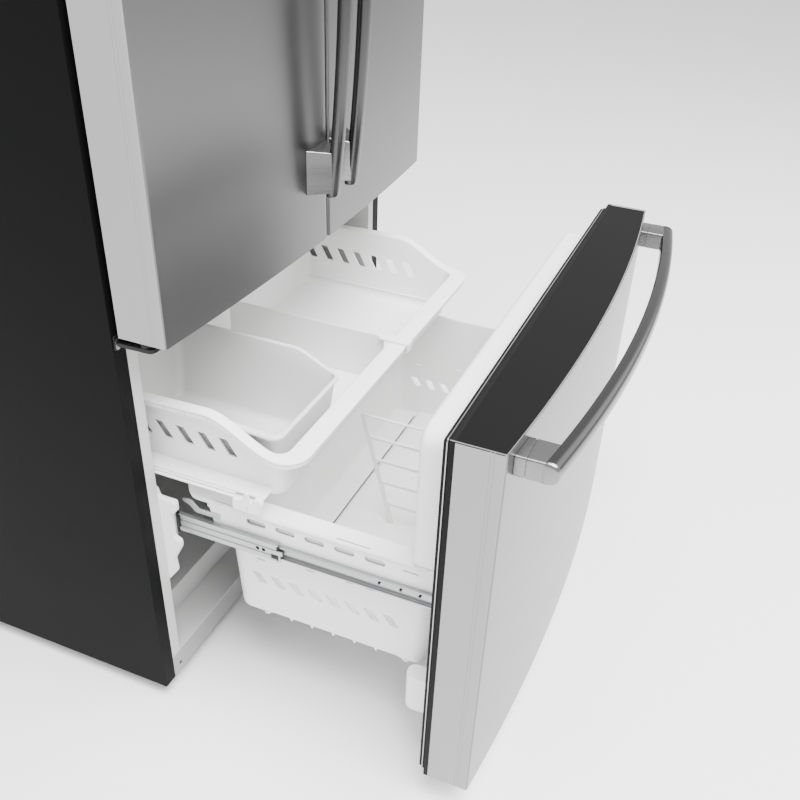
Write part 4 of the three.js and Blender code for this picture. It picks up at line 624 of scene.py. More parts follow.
def upper_handle():
    """The left door's bar, bowed off the door by a parabola, with a tapered foot near each end."""
    z0, z1 = extent("left_door_handle")[4:]
    x, gap, bow = -34.0, 18.5, 24.0
    foot_height, foot_taper, sink = 72, 6, 6
    middle, half = (z0 + z1) / 2, (z1 - z0) / 2

    def back_at(z):
        """The bar's back: front - gap - bow (1 - ((z - middle) / half)^2)."""
        return upper_front(x) - gap - bow * (1 - ((z - middle) / half) ** 2)

    bar = lofted(bar_rings(size("bar_width"), size("bar_thickness"), back_at, x, (z0, z1),
                           (0.0, 0.6, 1.8, 4.0), (0.80, 0.90, 0.97, 1.0), 10, 46, "z"))
    feet = []
    for bottom in (z0 + 8, z1 - 8 - foot_height):
        top = bottom + foot_height
        root, tip = upper_front(x) - CLEAR, min(back_at(bottom), back_at(top)) - sink
        share = np.array([0, 0.02, 0.06, 0.5, 0.97, 1.0])
        left, right = -74 + share * 27, -6 - share * 15
        levels = [(a, b, bottom, top - foot_taper * s, 2.2, -(root + (tip - root) * s), 0)
                  for a, b, s in zip(left, right, share)]
        feet.append(upright(lofted(rings_of(levels, 4))))
    return bar, feet


def freezer_handle():
    """The drawer's bar, bowed off the door by a parabola, on two-part feet near its ends."""
    _, half, _, _, z0, z1 = extent("freezer_door_handle")
    gap, bow = 36.0, 37.0
    foot_length, foot_inset, sink, waist = 50, 0.8, 3, 1.2
    height, middle, root = size("cross_bar_width"), (z0 + z1) / 2, freezer_front(half)

    def back_at(x):
        """The bar's back: root - gap - bow (1 - (x / half)^2)."""
        return root - gap - bow * (1 - (x / half) ** 2)

    rings = bar_rings(height, size("cross_bar_thickness"), back_at, middle, (-half, half),
                      (0.0, 0.8, 2.4, 5.0), (0.74, 0.87, 0.96, 1.0), 12, 60, "x")
    bar = lofted(rings[3:-3])
    feet = [lofted(rings[:4]), lofted(rings[-4:])]
    for a in (-half + foot_inset, half - foot_length - foot_inset):
        b, h = a + foot_length, height / 2 - 1
        seam, tip = root - gap * 0.42, min(back_at(a), back_at(b)) - sink
        near = [(freezer_front(a) - CLEAR, freezer_front(b) - CLEAR, 0), (seam, seam, 0)]
        neck = [(seam + 1, seam + 1, waist), (seam - 2.2, seam - 2.2, waist)]
        far = [(seam - waist, seam - waist, 0), (tip, tip, 0)]
        for pair in (near, neck, far):
            rows = []
            for ya, yb, d in pair:
                flat = rounded_ring(a + d, b - d, middle - h + d, middle + h - d, 3.0, 4)
                depth = ya + (yb - ya) * (flat[:, 0] - a) / (b - a)
                rows.append(np.column_stack([flat[:, 0], depth, flat[:, 1]]))
            feet.append(lofted(np.array(rows)))
    return bar, feet


def upper_doors():
    """Skin, liner, gasket and handle of both upper doors, drawn for the left and mirrored for the right."""
    z0, z1, root = UPPER[4], UPPER[5], UPPER[3] - RING_SINK
    slab = door_slab(UPPER, upper_front, z0 + CLEAR, z1 - CLEAR)
    ring = picture_frame(-RING_X, -56.0, 812.0, 1691.0, 24.0, root, UPPER[3] + 46.0, 22.0, 10.0)
    ear = [[-42, root], [-30, root], [-30, 17], [-42, 17]]
    ears = [extruded(ear, 3, "z", [z, z + 6.0]) for z in (808.7, 1688.3)]
    pins = [upright_rod(HINGE_X, HINGE_Y, z - 25, z + 25, 6.3) for z in (z0, z1)]
    flap_pins = [upright_rod(-36, 11, z - 8, z + 8, 2.8) for z in (815.0, 1688.0)]
    bar, feet = upper_handle()
    for side, place in SIDES:
        left = side == "left"
        door = side + "_door_"
        make(door + "front", place([door_skin(UPPER, upper_front)]), "stainless", door + "skin",
             behind=("door_side", upper_front(HALF) + STEEL_WRAP))
        make(door + "liner", place([slab, ring] + (ears if left else [])), "white_plastic", door + "core",
             place(pins + (flap_pins if left else [])))
        make(door + "seal", place(gasket_rings(extent("left_door_gasket"))), "black_rubber", door + "gasket")
        make(door + "bar", place([bar]), "stainless_bar", door + "handle")
        make(door + "bar_feet", place(feet), "stainless_foot_painted_reflection", door + "handle")


def freezer_door():
    """The drawer's front: bent skin, charcoal cap, white liner with its raised ring, seal and handle."""
    x0, x1, _, back, z0, _ = FREEZER
    cap_low, cap_high = extent("freezer_door_cap")[4:]
    proud = 0.3  # of the thin lines over what they run along

    def plan(inset):
        """The door's plan, drawn inset."""
        return door_path(x0, x1, back, freezer_front, inset)

    make("freezer_door_front", [door_skin(FREEZER, freezer_front)], "stainless", "freezer_door_skin",
         behind=("door_side", freezer_front(HALF) + STEEL_WRAP))
    make("freezer_door_top_cap", [swept(plan(SKIN_STEEL + 1.5), [cap_low, cap_high], "z")],
         "charcoal_plastic", "freezer_door_cap")
    # painted highlight: the skin's top edge takes the pale side finish, so that it shows as a bright line
    edge_plan = np.concatenate([plan(0.0), plan(SKIN_STEEL + 1.3)[::-1]])
    make("freezer_door_top_edge_highlight", [swept(edge_plan, [cap_high - 1.5, cap_high + 0.2], "z")], "door_side",
         "freezer_door_skin")
    trim = picture_frame(x0 - proud, x1 + proud, z0 - proud, cap_high + proud, 5.0, back - 7.0, back + 0.4,
                         1.0, 0.3)
    make("freezer_door_back_trim", [trim], "black_rubber", "freezer_door_gasket")
    # painted highlight: a thin grey zinc frame on the black seal, for the light line between its ribs
    a, b, front, _, low, high = extent("freezer_door_gasket")
    line = picture_frame(a - proud, b + proud, low - proud, high + proud, 4.0, front + 4.5, front + 6.0,
                         6.0, 0.3)
    make("freezer_door_seal_highlight", [line], "zinc", "freezer_door_gasket")
    slab = door_slab(FREEZER, freezer_front, *extent("freezer_door_core")[4:])
    ring = picture_frame(-RING_X, RING_X, 112, 694, 30.0, back - RING_SINK, back + 64.0, 30.8, 12.0)
    gap = block(-400, 400, back, back + 70, 209, 455, 0.1, 0.1, 2)
    bottom_gap = block(-348, 348, back, back + 70, 100, 215, 0.1, 0.1, 2)
    pocket = block(-409, -385.3, back - 22, back + 5, 239, 440, 3.0, 2.0)
    make("freezer_door_liner", [slab, ring], "white_plastic", "freezer_door_core",
         [gap, bottom_gap, pocket, *mirrored([pocket])])
    make("freezer_door_seal", gasket_rings(extent("freezer_door_gasket")), "black_rubber",
         "freezer_door_gasket")
    bar, feet = freezer_handle()
    make("freezer_door_bar", [bar], "stainless_cross_bar_painted_shade", "freezer_door_handle")
    make("freezer_door_bar_feet", feet, "stainless_foot_painted_reflection", "freezer_door_handle")


# ---- Drawer and baskets ----

FRAME_X = -extent("drawer_frame")[1]
FRAME_REAR = extent("drawer_frame")[3]
FRAME_TOP = extent("drawer_frame")[5]
LOWER = extent("lower_basket")
SLIDE = extent("slide_outer_left")
SLIDE_Z = (SLIDE[4] + SLIDE[5]) / 2


def drawer_frame():
    """Two C-shaped sides with sloped shoulders and long holes, end plates at the door and a rear rod."""
    x0, front, rear, low, top = FRAME_X, FREEZER[3] + CLEAR, FRAME_REAR, SLIDE_Z + 9, FRAME_TOP
    corner, high, sheet = (x0, low), top - low, 3
    shoulder = [[16, high], [12, high], [0, high - 14]]
    side = extruded([[0, 0], [17, 0], [17, sheet], [sheet, sheet], [sheet, high - 15], [13, high - sheet],
                     [16, high - sheet], *shoulder], 2.5, "y", [front, rear], corner)
    hook = extruded([[-24, 16], [22, 15.5], [34, 28], [46, 32], [46, 38], [28, 40], [14, 26], [-24, 26]],
                    2.5, "x", [x0 - 1.6, x0 + 1], (rear, low))
    on_both_sides("drawer_frame_hook", [hook], "zinc", "drawer_frame")
    # painted shade: a thin grey strip behind the long holes, so that they show as shaded recesses
    strip = block(x0 + 3.5, x0 + 4.3, front + 6, rear - 60, low + 21, low + 40, 0.3, 0.3, 2)
    on_both_sides("drawer_frame_shade_strip", [strip], "zinc", "drawer_frame")
    plate = extruded([[0, -85], [30, -85], [40, 0], [40, high - 20], *shoulder], 3, "y",
                     [front, front + sheet], corner)
    through, first, pitch, ovals = (x0 - 1, x0 + sheet + 1), 90, 52.0, 5
    holes = [long_hole(y - 17.5, y + 17.5, low + 24.5, low + 36.5, *through)
             for y in rear - first - np.arange(ovals) * pitch]
    holes.append(long_hole(rear - 371, rear - 345, low + 29.5, low + 32.5, *through))
    sloped_end = np.array([[rear - 12, low - 1], [rear + 1, low - 1], [rear + 1, top]])
    holes.append(swept(sloped_end, [x0 - 1, x0 + 17], "x"))
    on_both_sides("drawer_frame", [side, plate], "white_plastic", "drawer_frame", holes)
    rod_corners = [[-10, -27], [0, -27], [0, -17], [-10, -17]]
    cross_rod = extruded(rod_corners, 3, "x", [x0 + 1, -x0 - 1], (rear, top))
    make("drawer_frame_rod", [cross_rod], "white_plastic", "drawer_frame")


def lower_basket():
    """The deep basket with leaning slots, short slits, a sloped rim and a raised floor with ribs."""
    def shoulder(x, _):
        """The rim's fall at the sides: by 14, evenly, over the 15 mm past 368 from the middle."""
        return -14.0 * np.clip((np.abs(x) - 368.0) / 15.0, 0, 1)

    bottom, top, hump = LOWER[4] + 1, LOWER[5], 10
    floor, rim = (-352, 352, -456, -102, bottom), (-362, 362, -466, -90, top)
    shell = tub(floor, rim, size("basket_wall"), 24.0, 12.0, (21, 21, 10, 57), 5.0, shoulder, top - 20, 30,
                0.0, 2.0)
    holes = [extruded([[-420, 150], [-412, bottom + hump], [-167, bottom + hump], [-159, 150]], 7, "x",
                      [-400, 400])]
    width, height, first, pitch, slots = size("lower_slot_width"), size("lower_slot_height"), 151, 34.86, 8
    holes += [leaning_slot(-375, 375, y, 277.0, width, height, 13.5)
              for y in -first - np.arange(slots) * pitch]
    holes += [long_hole(y - 8, y + 8, z, z + 3.2, -375, 375)
              for y, z in ((-156, 320), (-250, 331), (-321, 334), (-358, 334))]
    holes += [long_hole(y0, y1, 441, 443.6, -390, -378) for y0, y1 in ((-366, -308), (-138, -91))]
    make("lower_basket_tub", [shell], "white_plastic", "lower_basket", holes)
    plate = extruded([[-426, 0], [-418, 0], [-411, hump], [-168, hump], [-161, 0], [-153, 0], [-153, 3],
                      [-159.5, 3], [-166.5, hump + 3], [-412.5, hump + 3], [-419.5, 3], [-426, 3]], 2,
                     "x", [-350, 350], (0, bottom))
    rib, first_rib, rib_pitch, ribs = [[-4, hump + 1], [-1.5, 2], [1.5, 2], [4, hump + 1]], 206, 40.3, 5
    parts = [plate] + [extruded(rib, 1.0, "x", [-350.5, 350.5], (y, bottom))
                       for y in -first_rib - np.arange(ribs) * rib_pitch]
    make("lower_basket_floor", parts, "white_plastic", "lower_basket")


def lower_divider():
    """A ladder-like panel with five windows and a slanted rear edge."""
    x0, x1, front, _, floor, top = extent("lower_divider")
    rear_low, rear_top, bar, rows = -260.0, -194.0, 6.0, 5
    panel = extruded([[front, floor], [rear_low, floor], [rear_top, top], [front, top]], 5, "x", [x0, x1])
    pitch = (top - floor) / rows
    windows = []
    for low in floor + np.arange(rows) * pitch:
        z0, z1 = low + bar / 2, low + pitch - bar / 2
        a, b = (rear_low + (rear_top - rear_low) * (z - floor) / (top - floor) - bar * 1.4 for z in (z0, z1))
        window = [[front + bar, z0], [a, z0], [b, z1], [front + bar, z1]]
        windows.append(extruded(window, 4, "x", [x0 - 1, x1 + 1]))
    make("lower_divider_panel", [panel], "white_plastic", "lower_divider", windows)


def channel(x0, x1, half, groove=0.7, sheet=1.2, lip=1.6):
    """A slide member's C in (x, z): rounded corners, lips turned in and two shallow grooves in its web.

    It opens towards x1, whichever side that is; each groove is a V of the given depth, pressed through
    the sheet at 0.36 of the half height.
    """
    s = 1.0 if x1 > x0 else -1.0
    inside, turned = half - sheet, half - sheet - lip
    vee = [(h * half + d, groove * (d == 0)) for h in (-0.36, 0.36) for d in (-1.6, 0.0, 1.6)]
    outer = [[x1, lip - half + sheet], [x1, -half], [x0, -half]] + [[x0 + s * g, z] for z, g in vee]
    outer += [[x0, half], [x1, half], [x1, turned]]
    inner = [[x1 - s * sheet, turned], [x1 - s * sheet, inside], [x0 + s * sheet, inside]]
    inner += [[x0 + s * (sheet + g), z] for z, g in vee[::-1]]
    inner += [[x0 + s * sheet, -inside], [x1 - s * sheet, -inside], [x1 - s * sheet, lip - half + sheet]]
    return softened(np.array(outer + inner) + [0, SLIDE_Z], 1.6, 3)


def slides():
    """The telescopic slides: three steel channels a side, their ball rows and the middle one's catch."""
    x, near, z = SLIDE[0], SLIDE[2], SLIDE_Z
    far, y2, y3 = extent("slide_inner_left")[1:4]
    y0, y1 = extent("slide_middle_left")[2:4]
    a, b = x + 2.0, x + 10.6
    outer_half, middle_half, inner_half = 22.0, 17.6, 13.2

    def rail(member, channel_shape, start, end, web, places, radius):
        """A member's channel, with round holes through its web at places from its start."""
        holes = [rod((web - 2, start + d, z), (web + 3, start + d, z), radius) for d in places]
        on_both_sides(member + "_rail", [swept(channel_shape, [start, end], "y")], "zinc", member, holes)

    rail("slide_outer", channel(x, SLIDE[1], outer_half, 0.3), near, SLIDE[3], x, (55.0, 370.0), 3.0)
    rail("slide_middle", channel(a, b, middle_half, 1.7), y0, y1, a, (26.0, 37.0), 3.4)
    catch = [block(a - 0.1, a + 2.2, y0 - 2, y0 + 3, z - 15, z + 15, 1.2, 0.6),
             block(a - 0.2, a + 2.0, y0 + 1, y0 + 13, z - 13, z - 3, 1.2, 0.6)]
    on_both_sides("slide_catch", catch, "black_paint", "slide_middle")
    lever = [block(a - 0.2, a + 2.1, y0 - 8, y0 + 6, z - 3, z + 6, 1.8, 0.6),
             block(a - 0.1, a + 2.0, y0 - 4, y0 + 1, z - 17, z - 2, 1.6, 0.6)]
    on_both_sides("slide_lever", lever, "zinc", "slide_middle")
    end = [block(x - 1, x + 6.5, -25, -9.0, z - 21, z + 21, 2.0, 1.0),
           block(x - 1.5, x + 5, -28, -24, z - 8, z + 16, 1.5, 1.0)]
    on_both_sides("slide_end", end, "black_paint", "slide_outer")
    end_lip = extruded([[-22, -22.4], [-8, -22.4], [-8, -20.4], [-20, -20.4], [-20, 20.4], [-8, 20.4],
                        [-8, 22.4], [-22, 22.4]], 0.5, "x", [x - 2.2, x + 2], (0, z))
    on_both_sides("slide_end_lip", [end_lip], "zinc", "slide_outer")
    studs = [rod((far - 7.5, y, z + 5), (far - 1, y, z + 5), 2.2) for y in (-385, -421, -453)]
    on_both_sides("slide_inner_stud", studs, "black_paint", "slide_inner")
    rail("slide_inner", channel(far, far - 7.7, inner_half), y2, y3, far - 1, (50.0, 410.0), 2.5)
    ball, pitch = 1.4, 12.0
    for member, cage, low, high, half in (("slide_middle", a + 4.0, y0 + 250, y1 - 40, middle_half),
                                          ("slide_inner", far - 4.2, y3 - 190, y3 - 20, inner_half)):
        heights = [z - half - ball, z + half + ball]
        parts = [rod((cage - 1.6, y, h), (cage + 1.6, y, h), ball, 12, 0.6)
                 for h in heights for y in np.arange(low + 5, high, pitch)]
        parts += [block(cage - 2.6, cage + 2.6, low, high, z + s, z + s + 1.0, 0.5, 0.3, 2)
                  for s in (-half - 1.6, half + 0.6)]
        on_both_sides(member + "_balls", parts, "zinc", member)


def rail_brackets():
    """The white mouldings on the liner's walls, with the channel that the upper basket runs in."""
    x0, _, y0, y1, _, top = extent("rail_bracket_left")
    low, seat, roof, sheet, depth = SLIDE_Z + 57, 457.7, 469.7, 3, 10.7
    plate = [[6, 67], [3, 51], [y0, 51], [y0, 30], [y0 + 11, 26], [y0 + 11, -28], [y0, -32], [y0, -46],
             [y0 + 17, -79], [y0 + 15, -106], [6, -134], [78, -119], [100, -84], [190, -78], [214, -50],
             [y1 - 10, -42], [y1 - 10, 67]]
    channel_shape = [[0, low], [depth, low], [depth, seat - sheet], [24.3, seat - sheet], [24.3, seat],
                     [sheet, seat], [sheet, roof], [9.9, roof], [9.9, roof + sheet], [sheet, roof + sheet],
                     [sheet, top], [0, top]]
    parts = [extruded(plate, 5, "x", [x0, x0 + depth], (0, SLIDE_Z), 5),
             extruded(channel_shape, 0.8, "y", [64.0, y1], (x0, 0), 3)]
    on_both_sides("rail_bracket_moulding", parts, "white_plastic", "rail_bracket")


UPPER_RIM = 560.0  # height of the upper basket's rim at the front
RIM_BEND, RIM_RUN = -213.0, 125.0  # where its rise to the sides begins, and how long it is
RIM_SIDE, RIM_REAR = 612.0, 604.0  # heights where the rise and the fall end
RIM_END = 208.0  # where the fall ends


def rim_rise(_, y):
    """The upper basket's rim over its front: level, then a smooth S up to the sides, then a slow fall.

    With t from 0 to 1 between the bend's ends the S is 3 t^2 - 2 t^3 of the rise.
    """
    t = np.clip((y - RIM_BEND) / RIM_RUN, 0, 1)
    fall = np.clip((y - RIM_BEND - RIM_RUN) / (RIM_END - RIM_BEND - RIM_RUN), 0, 1)
    return (RIM_SIDE - UPPER_RIM) * (3 * t ** 2 - 2 * t ** 3) - (RIM_SIDE - RIM_REAR) * fall


def upper_basket():
    """The wavy-rimmed basket with its slots, the ribs of its lip, the ledges and the runners."""
    floor, rim = (-360, 360, -205, 140, 466.0), (-369, 369, -218, 145, UPPER_RIM)
    shell = tub(floor, rim, size("basket_wall"), 26.0, 14.0, (17, 17, 32, 15), 12.0, rim_rise, 505.0, 30,
                1.8)
    width, height, first, pitch, count = size("upper_slot_width"), size("upper_slot_height"), 120, 39.3, 7
    slots = [leaning_slot(-395, 395, y, 545.0, width, height, 17.0, 2.0)
             for y in first - np.arange(count) * pitch]
    places = np.arange(-177.0, 130.0, 40.0)
    nicks = [block(-388, -382.6, y - 0.7, y + 0.7, z - 14, z - 4, 0.2, 0.2, 2)
             for y, z in zip(places, UPPER_RIM + rim_rise(0.0, places))]
    make("upper_basket_tub", [shell], "white_plastic", "upper_basket", [*slots, *nicks, *mirrored(nicks)])
    ledge = block(-390.4, -357, -191, 134, 484.3, 487.3, 2.0, 0.8)
    on_both_sides("upper_basket_ledge", [ledge], "white_plastic", "upper_basket")
    x0, _, y0, y1, z0, _ = extent("upper_rail_left")
    right, top = 17.6, 26
    runner = [[7.6, 18.8], [right, 18.8], [right, top], [6.6, top], [6.6, 24.4], [9.6, 24.4], [9.6, 22.6],
              [2, 22.6], [2, 20.6], [7.6, 20.6]]
    clip = [[0, 0], [49, 0], [49, 20], [33, 20], [29, 25], [27, 36], [20, 37], [18, 21], [12, 20], [9, 30],
            [0, 30]]
    parts = [extruded(runner, 0.4, "y", [y0 + 48, y1], (x0, z0), 3),
             extruded(clip, 5, "x", [x0, x0 + 3], (y0, z0), 5),
             block(x0 + 1, x0 + right, y0 + 4, y0 + 49, z0, z0 + 20, 1.5, 1.0),
             block(x0 + 1, x0 + right, y1 - 60, y1, z0, z0 + top - 6, 1.5, 1.0),
             rod((x0 + 0.5, y0 + 6, z0 + 21), (x0 + 12, y0 + 6, z0 + 21), 8.5, 24, 1.5)]
    on_both_sides("upper_runner", parts, "white_plastic", "upper_rail",
                  [rod((x0 - 1, y0 + 24, z0 + 9), (x0 + 2, y0 + 24, z0 + 9), 1.6)])


def upper_divider():
    """The plate across the upper basket, hooked over its front rim."""
    x0, x1, y0, rear, z0, _ = extent("upper_divider")
    over, front, thick = UPPER_RIM + CLEAR, y0 + 53, 4
    top = over + thick
    plate = extruded([[front, z0], [rear, z0], [rear, top], [front, top]], 9, "x", [x0 + 8, x1 - 8], steps=5)
    hook = extruded([[59, thick], [0, thick], [0, -14], [3, -14], [3, 0], [59, 0]], 1.4, "x", [x0, x1],
                    (y0, over))
    make("upper_divider_plate", [plate, hook], "white_plastic", "upper_divider")


def ice_bin():
    """The deep bin at the left of the upper basket, the rim of its right wall dipping to the front.

    With t from 0 to 1 over the front 85 mm, the right wall's rim rises by 31 (3 t^2 - 2 t^3). The left
    one rises by 0.05 of the way back, and the ends run straight from one to the other.
    """
    left, width, front = -359.0, 209.0, -201.0

    def slope(x, y):
        """The rim's height over its level at the front."""
        across = np.clip((x - left) / width, 0, 1)
        t = np.clip((y - front) / 85.0, 0, 1)
        return across * 31.0 * (3 * t ** 2 - 2 * t ** 3) + (1 - across) * 0.05 * (y + 198.0)

    floor, rim = (-351, -172, -190, 112, 469.3), (-356, -151, front, 115, 585.0)
    shell = tub(floor, rim, 2.5, 15.0, 12.0, (8.5, 5, 5, 3), 5.0, slope, 500.0, 30)
    make("ice_bin_tub", [shell], "bin_painted_shade", "ice_bin")


# ---- Hinges and trim ----

def centre_hinges():
    """Plate, arm, collar and pin under each upper door, with the light bush and the screw cap beside it."""
    x0, z0 = extent("centre_hinge_left")[0], extent("centre_hinge_left")[4]
    low, high = z0 + 8, z0 + 14
    arm = [[0, -3], [46, -3], [40, -56], [24, -66], [2, -64]]
    parts = [block(x0, x0 + 52, -3.3, -CLEAR, low - 8, high + 8, 2.0, 0.8),
             extruded(arm, 9, "z", [low, high], (x0, 0), 6),
             upright_rod(HINGE_X, HINGE_Y, high - 1, 754.7, 10.0, 32, 0.8),
             upright_rod(HINGE_X, HINGE_Y, high, 773, 6.0, 32, 0.8)]
    on_both_sides("centre_hinge_arm", parts, "black_paint", "centre_hinge")
    bush = upright_rod(HINGE_X + 16, HINGE_Y, low - 2.5, low - 0.2, 13.0, 36, 0.8)
    on_both_sides("centre_hinge_bush", [bush], "zinc", "centre_hinge")
    a, b, foot = -450.5, -438.5, extent("freezer_door_gasket")[5] + 1.5
    levels = [(a + d, b - d, foot + d, foot + 20 - d, 5.9 - d, height, 0)
              for d, height in ((0, 0.4), (0, 2.6), (1, 3.4))]
    hole = rod(((a + b) / 2, -10, foot + 8), ((a + b) / 2, -1, foot + 8), 2.8)
    on_both_sides("screw_cap", [upright(lofted(rings_of(levels, 8)))], "zinc", "centre_hinge", [hole])


def sill_screws():
    """The dark screws that hold the sill under the freezer's opening."""
    face, x, z = extent("toe_rail")[2], -407, 46
    screw = rod((x, face - 0.6, z), (x, face + 2, z), 3.4, 24, 0.4)
    for side, place in SIDES:
        make("sill_screw_" + side, place([screw]), "black_paint", None, own=("cabinet", "black_steel"))


def top_hinges():
    """The rounded covers over the upper hinges."""
    x0, x1, y0, y1, _, z1 = extent("top_hinge_left")
    over, low = z1 - 13, 1753.3
    cover = [[y0, over], [2, over], [2, low], [y1, low], [y1, low + 10], [70, z1 - 4], [30, z1],
             [y0 + 6, z1], [y0, z1 - 5]]
    parts = [extruded(cover, 4, "x", [x0, x1], steps=5),
             upright_rod(HINGE_X, HINGE_Y, over - 22, over + 1, 6.0, 32, 0.8)]
    on_both_sides("top_hinge_cover", parts, "charcoal_plastic", "top_hinge")


# ---- Stage ----

CAMERA_PLACE = Vector((-1.3367, -0.7858, 1.3862))  # with y from the cabinet's front
CAMERA_AHEAD = Vector((0.7736, 0.2952, -0.5607))
CAMERA_RIGHT = Vector((0.3822, -0.9231, 0.0413))
CAMERA_LENS, SENSOR_WIDTH = 41.33, 36.0
CAMERA_SHIFT = (-0.0129, 0.0274)
FLOOR_REACH = 30.0
DAYLIGHT = 1.25
LAMPS = {  # place, target, side and power
    "overhead": ((-0.9, -1.6, 4.3), (-0.2, -0.5, 0.4), 3.2, 760),
    "fill": ((2.6, -3.0, 2.6), (0, -0.5, 0.5), 2.6, 60),
}


def make_camera():
    """The photograph's view, fitted to the corners of the cabinet and the freezer door."""
    data = bpy.data.cameras.new("camera")
    data.lens = CAMERA_LENS
    data.sensor_width = SENSOR_WIDTH
    data.shift_x, data.shift_y = CAMERA_SHIFT
    camera = placed("camera", data)
    back = -CAMERA_AHEAD.normalized()
    right = (CAMERA_RIGHT - back * CAMERA_RIGHT.dot(back)).normalized()
    up = back.cross(right)
    place = Matrix((right, up, back)).transposed().to_4x4()
    place.translation = CAMERA_PLACE + Vector((0, FRONT, 0))
    camera.matrix_world = place
    bpy.context.scene.camera = camera


def area_light(name, place, target, side, power):
    """A square softbox at a place, facing a target."""
    data = bpy.data.lights.new(name, "AREA")
    data.energy = power
    data.size = side
    lamp = placed(name, data)
    lamp.location = place
    lamp.rotation_mode = "QUATERNION"
    lamp.rotation_quaternion = (Vector(target) - Vector(place)).to_track_quat("-Z", "Y")


def make_stage():
    """Pale floor, white surroundings and soft lights."""
    tree, shader = principled("pale_floor", (0.93, 0.93, 0.93), 0.6)
    relief(tree, shader, pattern(tree, 4.0), 0.05, 0.2 * MM)
    mesh = bpy.data.meshes.new("floor")
    corners = [(x * FLOOR_REACH, y * FLOOR_REACH, 0) for x, y in ((-1, -1), (1, -1), (1, 1), (-1, 1))]
    mesh.from_pydata(corners, [], [(0, 1, 2, 3)])
    mesh.materials.append(MATERIALS["pale_floor"])
    floor = placed("floor", mesh)
    world = bpy.data.worlds.new("surroundings")
    world.use_nodes = True
    give(world.node_tree.nodes["Background"], {"Color": (1, 1, 1, 1), "Strength": DAYLIGHT})
    bpy.context.scene.world = world
    for name, (place, target, side, power) in LAMPS.items():
        area_light(name, place, target, side, power)


# ---- Add-on ----

def colour(name, description, default):
    """A colour that the user may change."""
    return FloatVectorProperty(name=name, description=description, default=default, subtype="COLOR", size=3,
                               min=0, max=1)


def length(name, description, millimetres):
    """A length that the user may change, kept in metres."""
    return FloatProperty(name=name, description=description, default=millimetres * MM, subtype="DISTANCE",
                         unit="LENGTH", min=MM, max=50 * MM)


class FridgeColours(bpy.types.PropertyGroup):
    stainless: colour("Stainless", "Colour of the brushed steel", (0.15, 0.15, 0.152))
    cabinet: colour("Cabinet", "Colour of the cabinet's paint", (0.0045, 0.0045, 0.0047))
    cap: colour("Cap", "Colour of the charcoal plastic", (0.0055, 0.0055, 0.0057))
    plastic: colour("Plastic", "Colour of the white plastic", (0.84, 0.84, 0.835))
    door_side: colour("Door side", "Colour of the doors' grey sides", (0.27, 0.27, 0.27))


class FridgeSizes(bpy.types.PropertyGroup):
    bar_width: length("Bar width", "Width of the upper doors' handle bars", 28.0)
    bar_thickness: length("Bar thickness", "Thickness of the upper doors' handle bars", 18.0)
    cross_bar_width: length("Cross bar width", "Height of the freezer door's handle bar", 34.0)
    cross_bar_thickness: length("Cross bar thickness", "Thickness of the freezer door's handle bar", 23.0)
    basket_wall: length("Basket wall", "Thickness of both baskets' walls", 3.0)
    upper_slot_width: length("Upper slot width", "Width of the upper basket's slots", 16.5)
    upper_slot_height: length("Upper slot height", "Height of the upper basket's slots", 30.0)
    lower_slot_width: length("Lower slot width", "Width of the lower basket's slots", 16.0)
    lower_slot_height: length("Lower slot height", "Height of the lower basket's slots", 21.5)


class FRIDGE_OT_finishes(bpy.types.Operator):
    """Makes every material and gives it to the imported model's nodes"""
    bl_idname = "fridge.finishes"
    bl_label = "Finishes"

    def execute(self, context):
        make_materials(context.scene.fridge_colours)
        dress_nodes()
        return {"FINISHED"}


class FRIDGE_OT_upper_doors(bpy.types.Operator):
    """Builds both upper doors"""
    bl_idname = "fridge.upper_doors"
    bl_label = "Upper doors"

    def execute(self, context):
        upper_doors()
        return {"FINISHED"}


class FRIDGE_OT_freezer_door(bpy.types.Operator):
    """Builds the freezer drawer's front"""
    bl_idname = "fridge.freezer_door"
    bl_label = "Freezer door"

    def execute(self, context):
        freezer_door()
        return {"FINISHED"}


class FRIDGE_OT_freezer_drawer(bpy.types.Operator):
    """Builds the drawer's frame, its lower basket and the divider"""
    bl_idname = "fridge.freezer_drawer"
    bl_label = "Freezer drawer"

    def execute(self, context):
        drawer_frame()
        lower_basket()
        lower_divider()
        return {"FINISHED"}


class FRIDGE_OT_slides(bpy.types.Operator):
    """Builds the telescopic slides and the mouldings that carry them"""
    bl_idname = "fridge.slides"
    bl_label = "Slides"

    def execute(self, context):
        slides()
        rail_brackets()
        return {"FINISHED"}


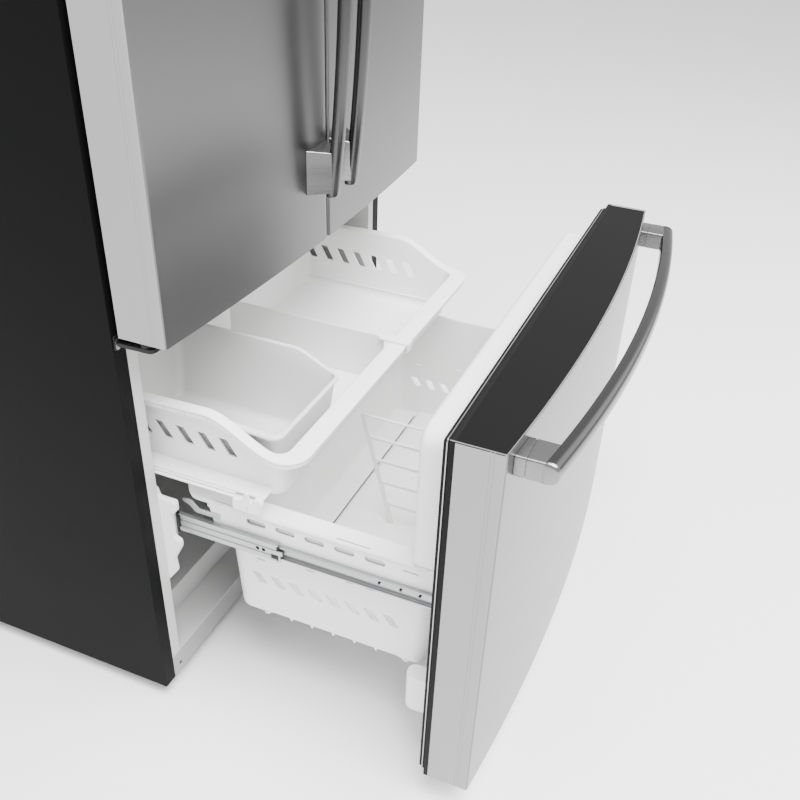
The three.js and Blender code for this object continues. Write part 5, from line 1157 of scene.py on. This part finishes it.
class FRIDGE_OT_upper_basket(bpy.types.Operator):
    """Builds the upper basket, its divider and its ice bin"""
    bl_idname = "fridge.upper_basket"
    bl_label = "Upper basket"

    def execute(self, context):
        upper_basket()
        upper_divider()
        ice_bin()
        return {"FINISHED"}


class FRIDGE_OT_hinges(bpy.types.Operator):
    """Builds the hinges of the upper doors and the sill's screws"""
    bl_idname = "fridge.hinges"
    bl_label = "Hinges"

    def execute(self, context):
        centre_hinges()
        top_hinges()
        sill_screws()
        return {"FINISHED"}


class FRIDGE_OT_stage(bpy.types.Operator):
    """Sets up the floor, the lights and the camera"""
    bl_idname = "fridge.stage"
    bl_label = "Stage"

    def execute(self, context):
        make_camera()
        make_stage()
        return {"FINISHED"}


OPERATORS = (FRIDGE_OT_finishes, FRIDGE_OT_upper_doors, FRIDGE_OT_freezer_door, FRIDGE_OT_freezer_drawer,
             FRIDGE_OT_slides, FRIDGE_OT_upper_basket, FRIDGE_OT_hinges, FRIDGE_OT_stage)


class FRIDGE_PT_panel(bpy.types.Panel):
    """Lists the refrigerator's sizes, colours and building steps"""
    bl_label = "Refrigerator"
    bl_idname = "FRIDGE_PT_panel"
    bl_space_type = "VIEW_3D"
    bl_region_type = "UI"
    bl_category = "Refrigerator"

    def draw(self, context):
        for name in FridgeSizes.__annotations__:
            self.layout.prop(context.scene.fridge_sizes, name)
        for name in FridgeColours.__annotations__:
            self.layout.prop(context.scene.fridge_colours, name)
        for step in OPERATORS:
            self.layout.operator(step.bl_idname)


CLASSES = (FridgeColours, FridgeSizes, *OPERATORS, FRIDGE_PT_panel)


def register():
    for item in CLASSES:
        bpy.utils.register_class(item)
    bpy.types.Scene.fridge_colours = PointerProperty(type=FridgeColours)
    bpy.types.Scene.fridge_sizes = PointerProperty(type=FridgeSizes)


def unregister():
    del bpy.types.Scene.fridge_sizes
    del bpy.types.Scene.fridge_colours
    for item in reversed(CLASSES):
        bpy.utils.unregister_class(item)


def main():
    register()
    for step in OPERATORS:
        group, name = step.bl_idname.split(".")
        getattr(getattr(bpy.ops, group), name)()


if __name__ == "__main__":
    main()
